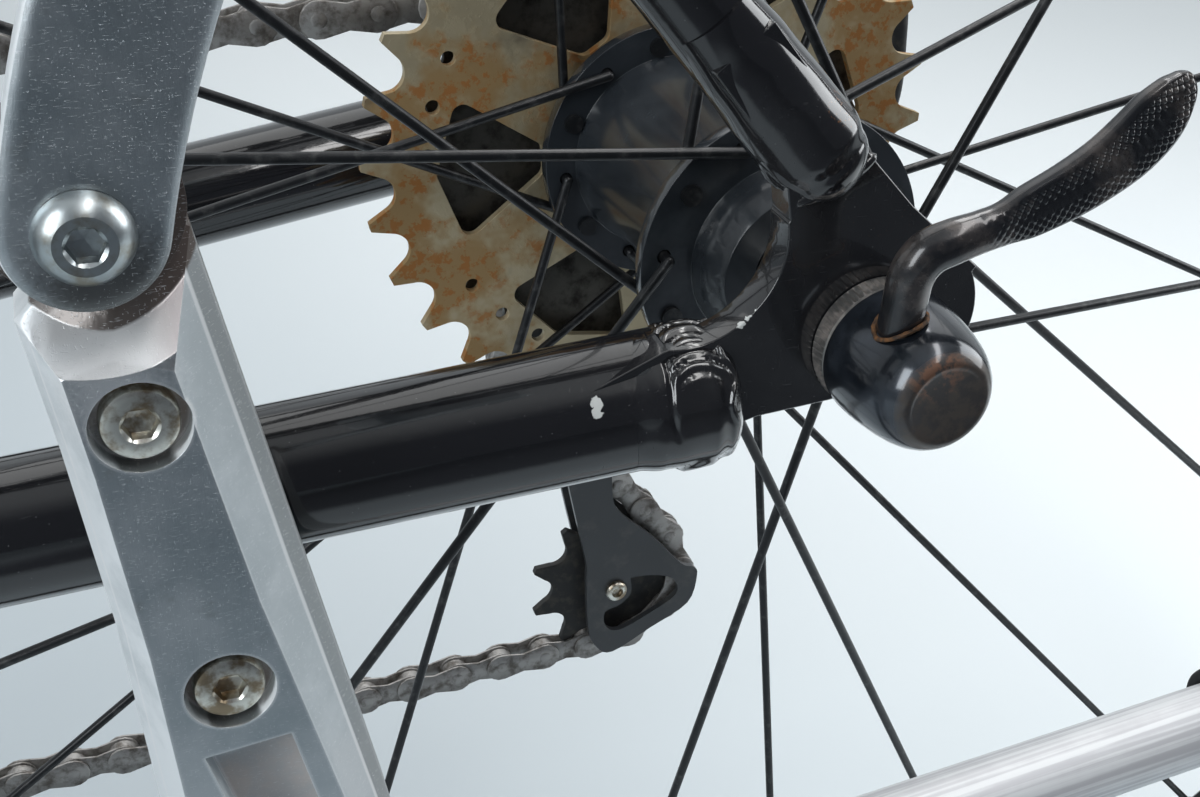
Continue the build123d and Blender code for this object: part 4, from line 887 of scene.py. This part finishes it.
# Rear derailleur: black painted cage and body, bolted to the dropout's hanger, with two moulded
# pulleys. A sleeved housing brings its cable from a stop on the seatstay.
painted = Finish("derailleur_black", metallic=0.2, coat_weight=0.3, coat_roughness=0.2)
road = painted.noise(110, 5, 0.62)
painted.set(base_color=painted.mix(painted.step(road, 0.5, 0.75), (0.040, 0.043, 0.047, 1), (0.085, 0.082, 0.078, 1)),
            roughness=0.34 + road * 0.25, normal=painted.bump(road, 0.03))
finish_nodes(painted, "derailleur_body", edge=0.5)
# The cage's outline and its opening, as x and z
CAGE = [(4, -49.8), (11.5, -52.8), (13.6, -61.0), (11.4, -84.0), (7.3, -104.0), (4.4, -117.2), (1.8, -129.0),
        (1.6, -134.8), (0.5, -151.5), (-2.2, -158.5), (-7.0, -161.1), (-18.0, -155.2), (-29.0, -148.8),
        (-31.3, -139.8), (-30.1, -136.6), (-26.1, -134.6), (-17.1, -124.0), (-7.4, -114.3), (-4.6, -106.2),
        (-4.4, -84.0), (-6.2, -62.0), (-3.8, -52.8)]
OPENING = [(-11.2, -136.4), (-17.5, -136.8), (-24.0, -139.4), (-25.2, -145.0), (-17.0, -150.2), (-8.6, -153.8),
           (-4.6, -151.6), (-4.2, -146.6), (-8.4, -145.0), (-11.6, -141.6)]


def flat_plate(outlines, y0, y1):
    """A plate across the bicycle between two Y planes: its outline, then its openings, as (x, z) rows."""
    loops = [[Vector((x, 0, z)) for x, z in smooth_line(rows + rows[:1], len(rows) * 4)[:-1]] for rows in outlines]
    flat = [p for loop in loops for p in loop]
    count = len(flat)
    triangles = geometry.tessellate_polygon([[Vector((p.x, p.z, 0)) for p in loop] for loop in loops])
    points = [p + Y * y0 for p in flat] + [p + Y * y1 for p in flat]
    faces = [tuple(t) for t in triangles] + [tuple(k + count for k in t) for t in triangles]
    start = 0
    for loop in loops:
        n = len(loop)
        faces += [(start + k, start + (k + 1) % n, count + start + (k + 1) % n, count + start + k) for k in range(n)]
        start += n
    return points, faces


cage = [flat_plate([CAGE, OPENING], CHAIN_Y + 4.3, CHAIN_Y + 6.0), flat_plate([CAGE], CHAIN_Y - 6.0, CHAIN_Y - 4.3)]
for centre in (GUIDE, TENSION):
    for low, high in ((1.3, 5.4), (-5.4, -1.3)):
        cage.append(across_chain([(0.1, low), (4.8, low), (4.8, high), (0.1, high)], centre, 32))
piece("cage_plates", cage, "frame", painted, "derailleur_black", "derailleur_cage", sharp=40)
CAGE_BOLT = [(0.1, -6.8), (3.0, -6.8), (3.0, 7.0), (2.6, 7.5), (1.6, 7.6), (1.4, 6.4), (0.1, 6.4)]
cage_bolts = [across_chain(CAGE_BOLT, centre, 32) for centre in (GUIDE, TENSION)]
piece("cage_bolts", cage_bolts, "frame", plated, "bolt_steel")
moulded = Finish("pulley_plastic", specular=0.4)
muck = moulded.noise(300, 5, 0.6)
moulded.set(base_color=moulded.mix(moulded.step(muck, 0.45, 0.7), (0.02, 0.02, 0.02, 1), (0.05, 0.045, 0.038, 1)),
            roughness=0.45 + muck * 0.25, normal=moulded.bump(muck, 0.08))
finish_nodes(moulded, "pulley_guide", "pulley_tension", edge=0.3)
finish_nodes(moulded, "shift_housing")
finish_nodes(painted, "housing_stop", edge=0.3)


# Crankset: black forged aluminium arms on a steel spindle. Two dark steel chainrings are held to the
# right arm by five bolts.
finish_nodes(anodised, "crank_arm_left", "crank_arm_right", edge=1.2)
finish_nodes(oily, "chainring_inner", "chainring_outer", edge=0.25)
finish_nodes(plated, "chainring_bolts", edge=0.3)
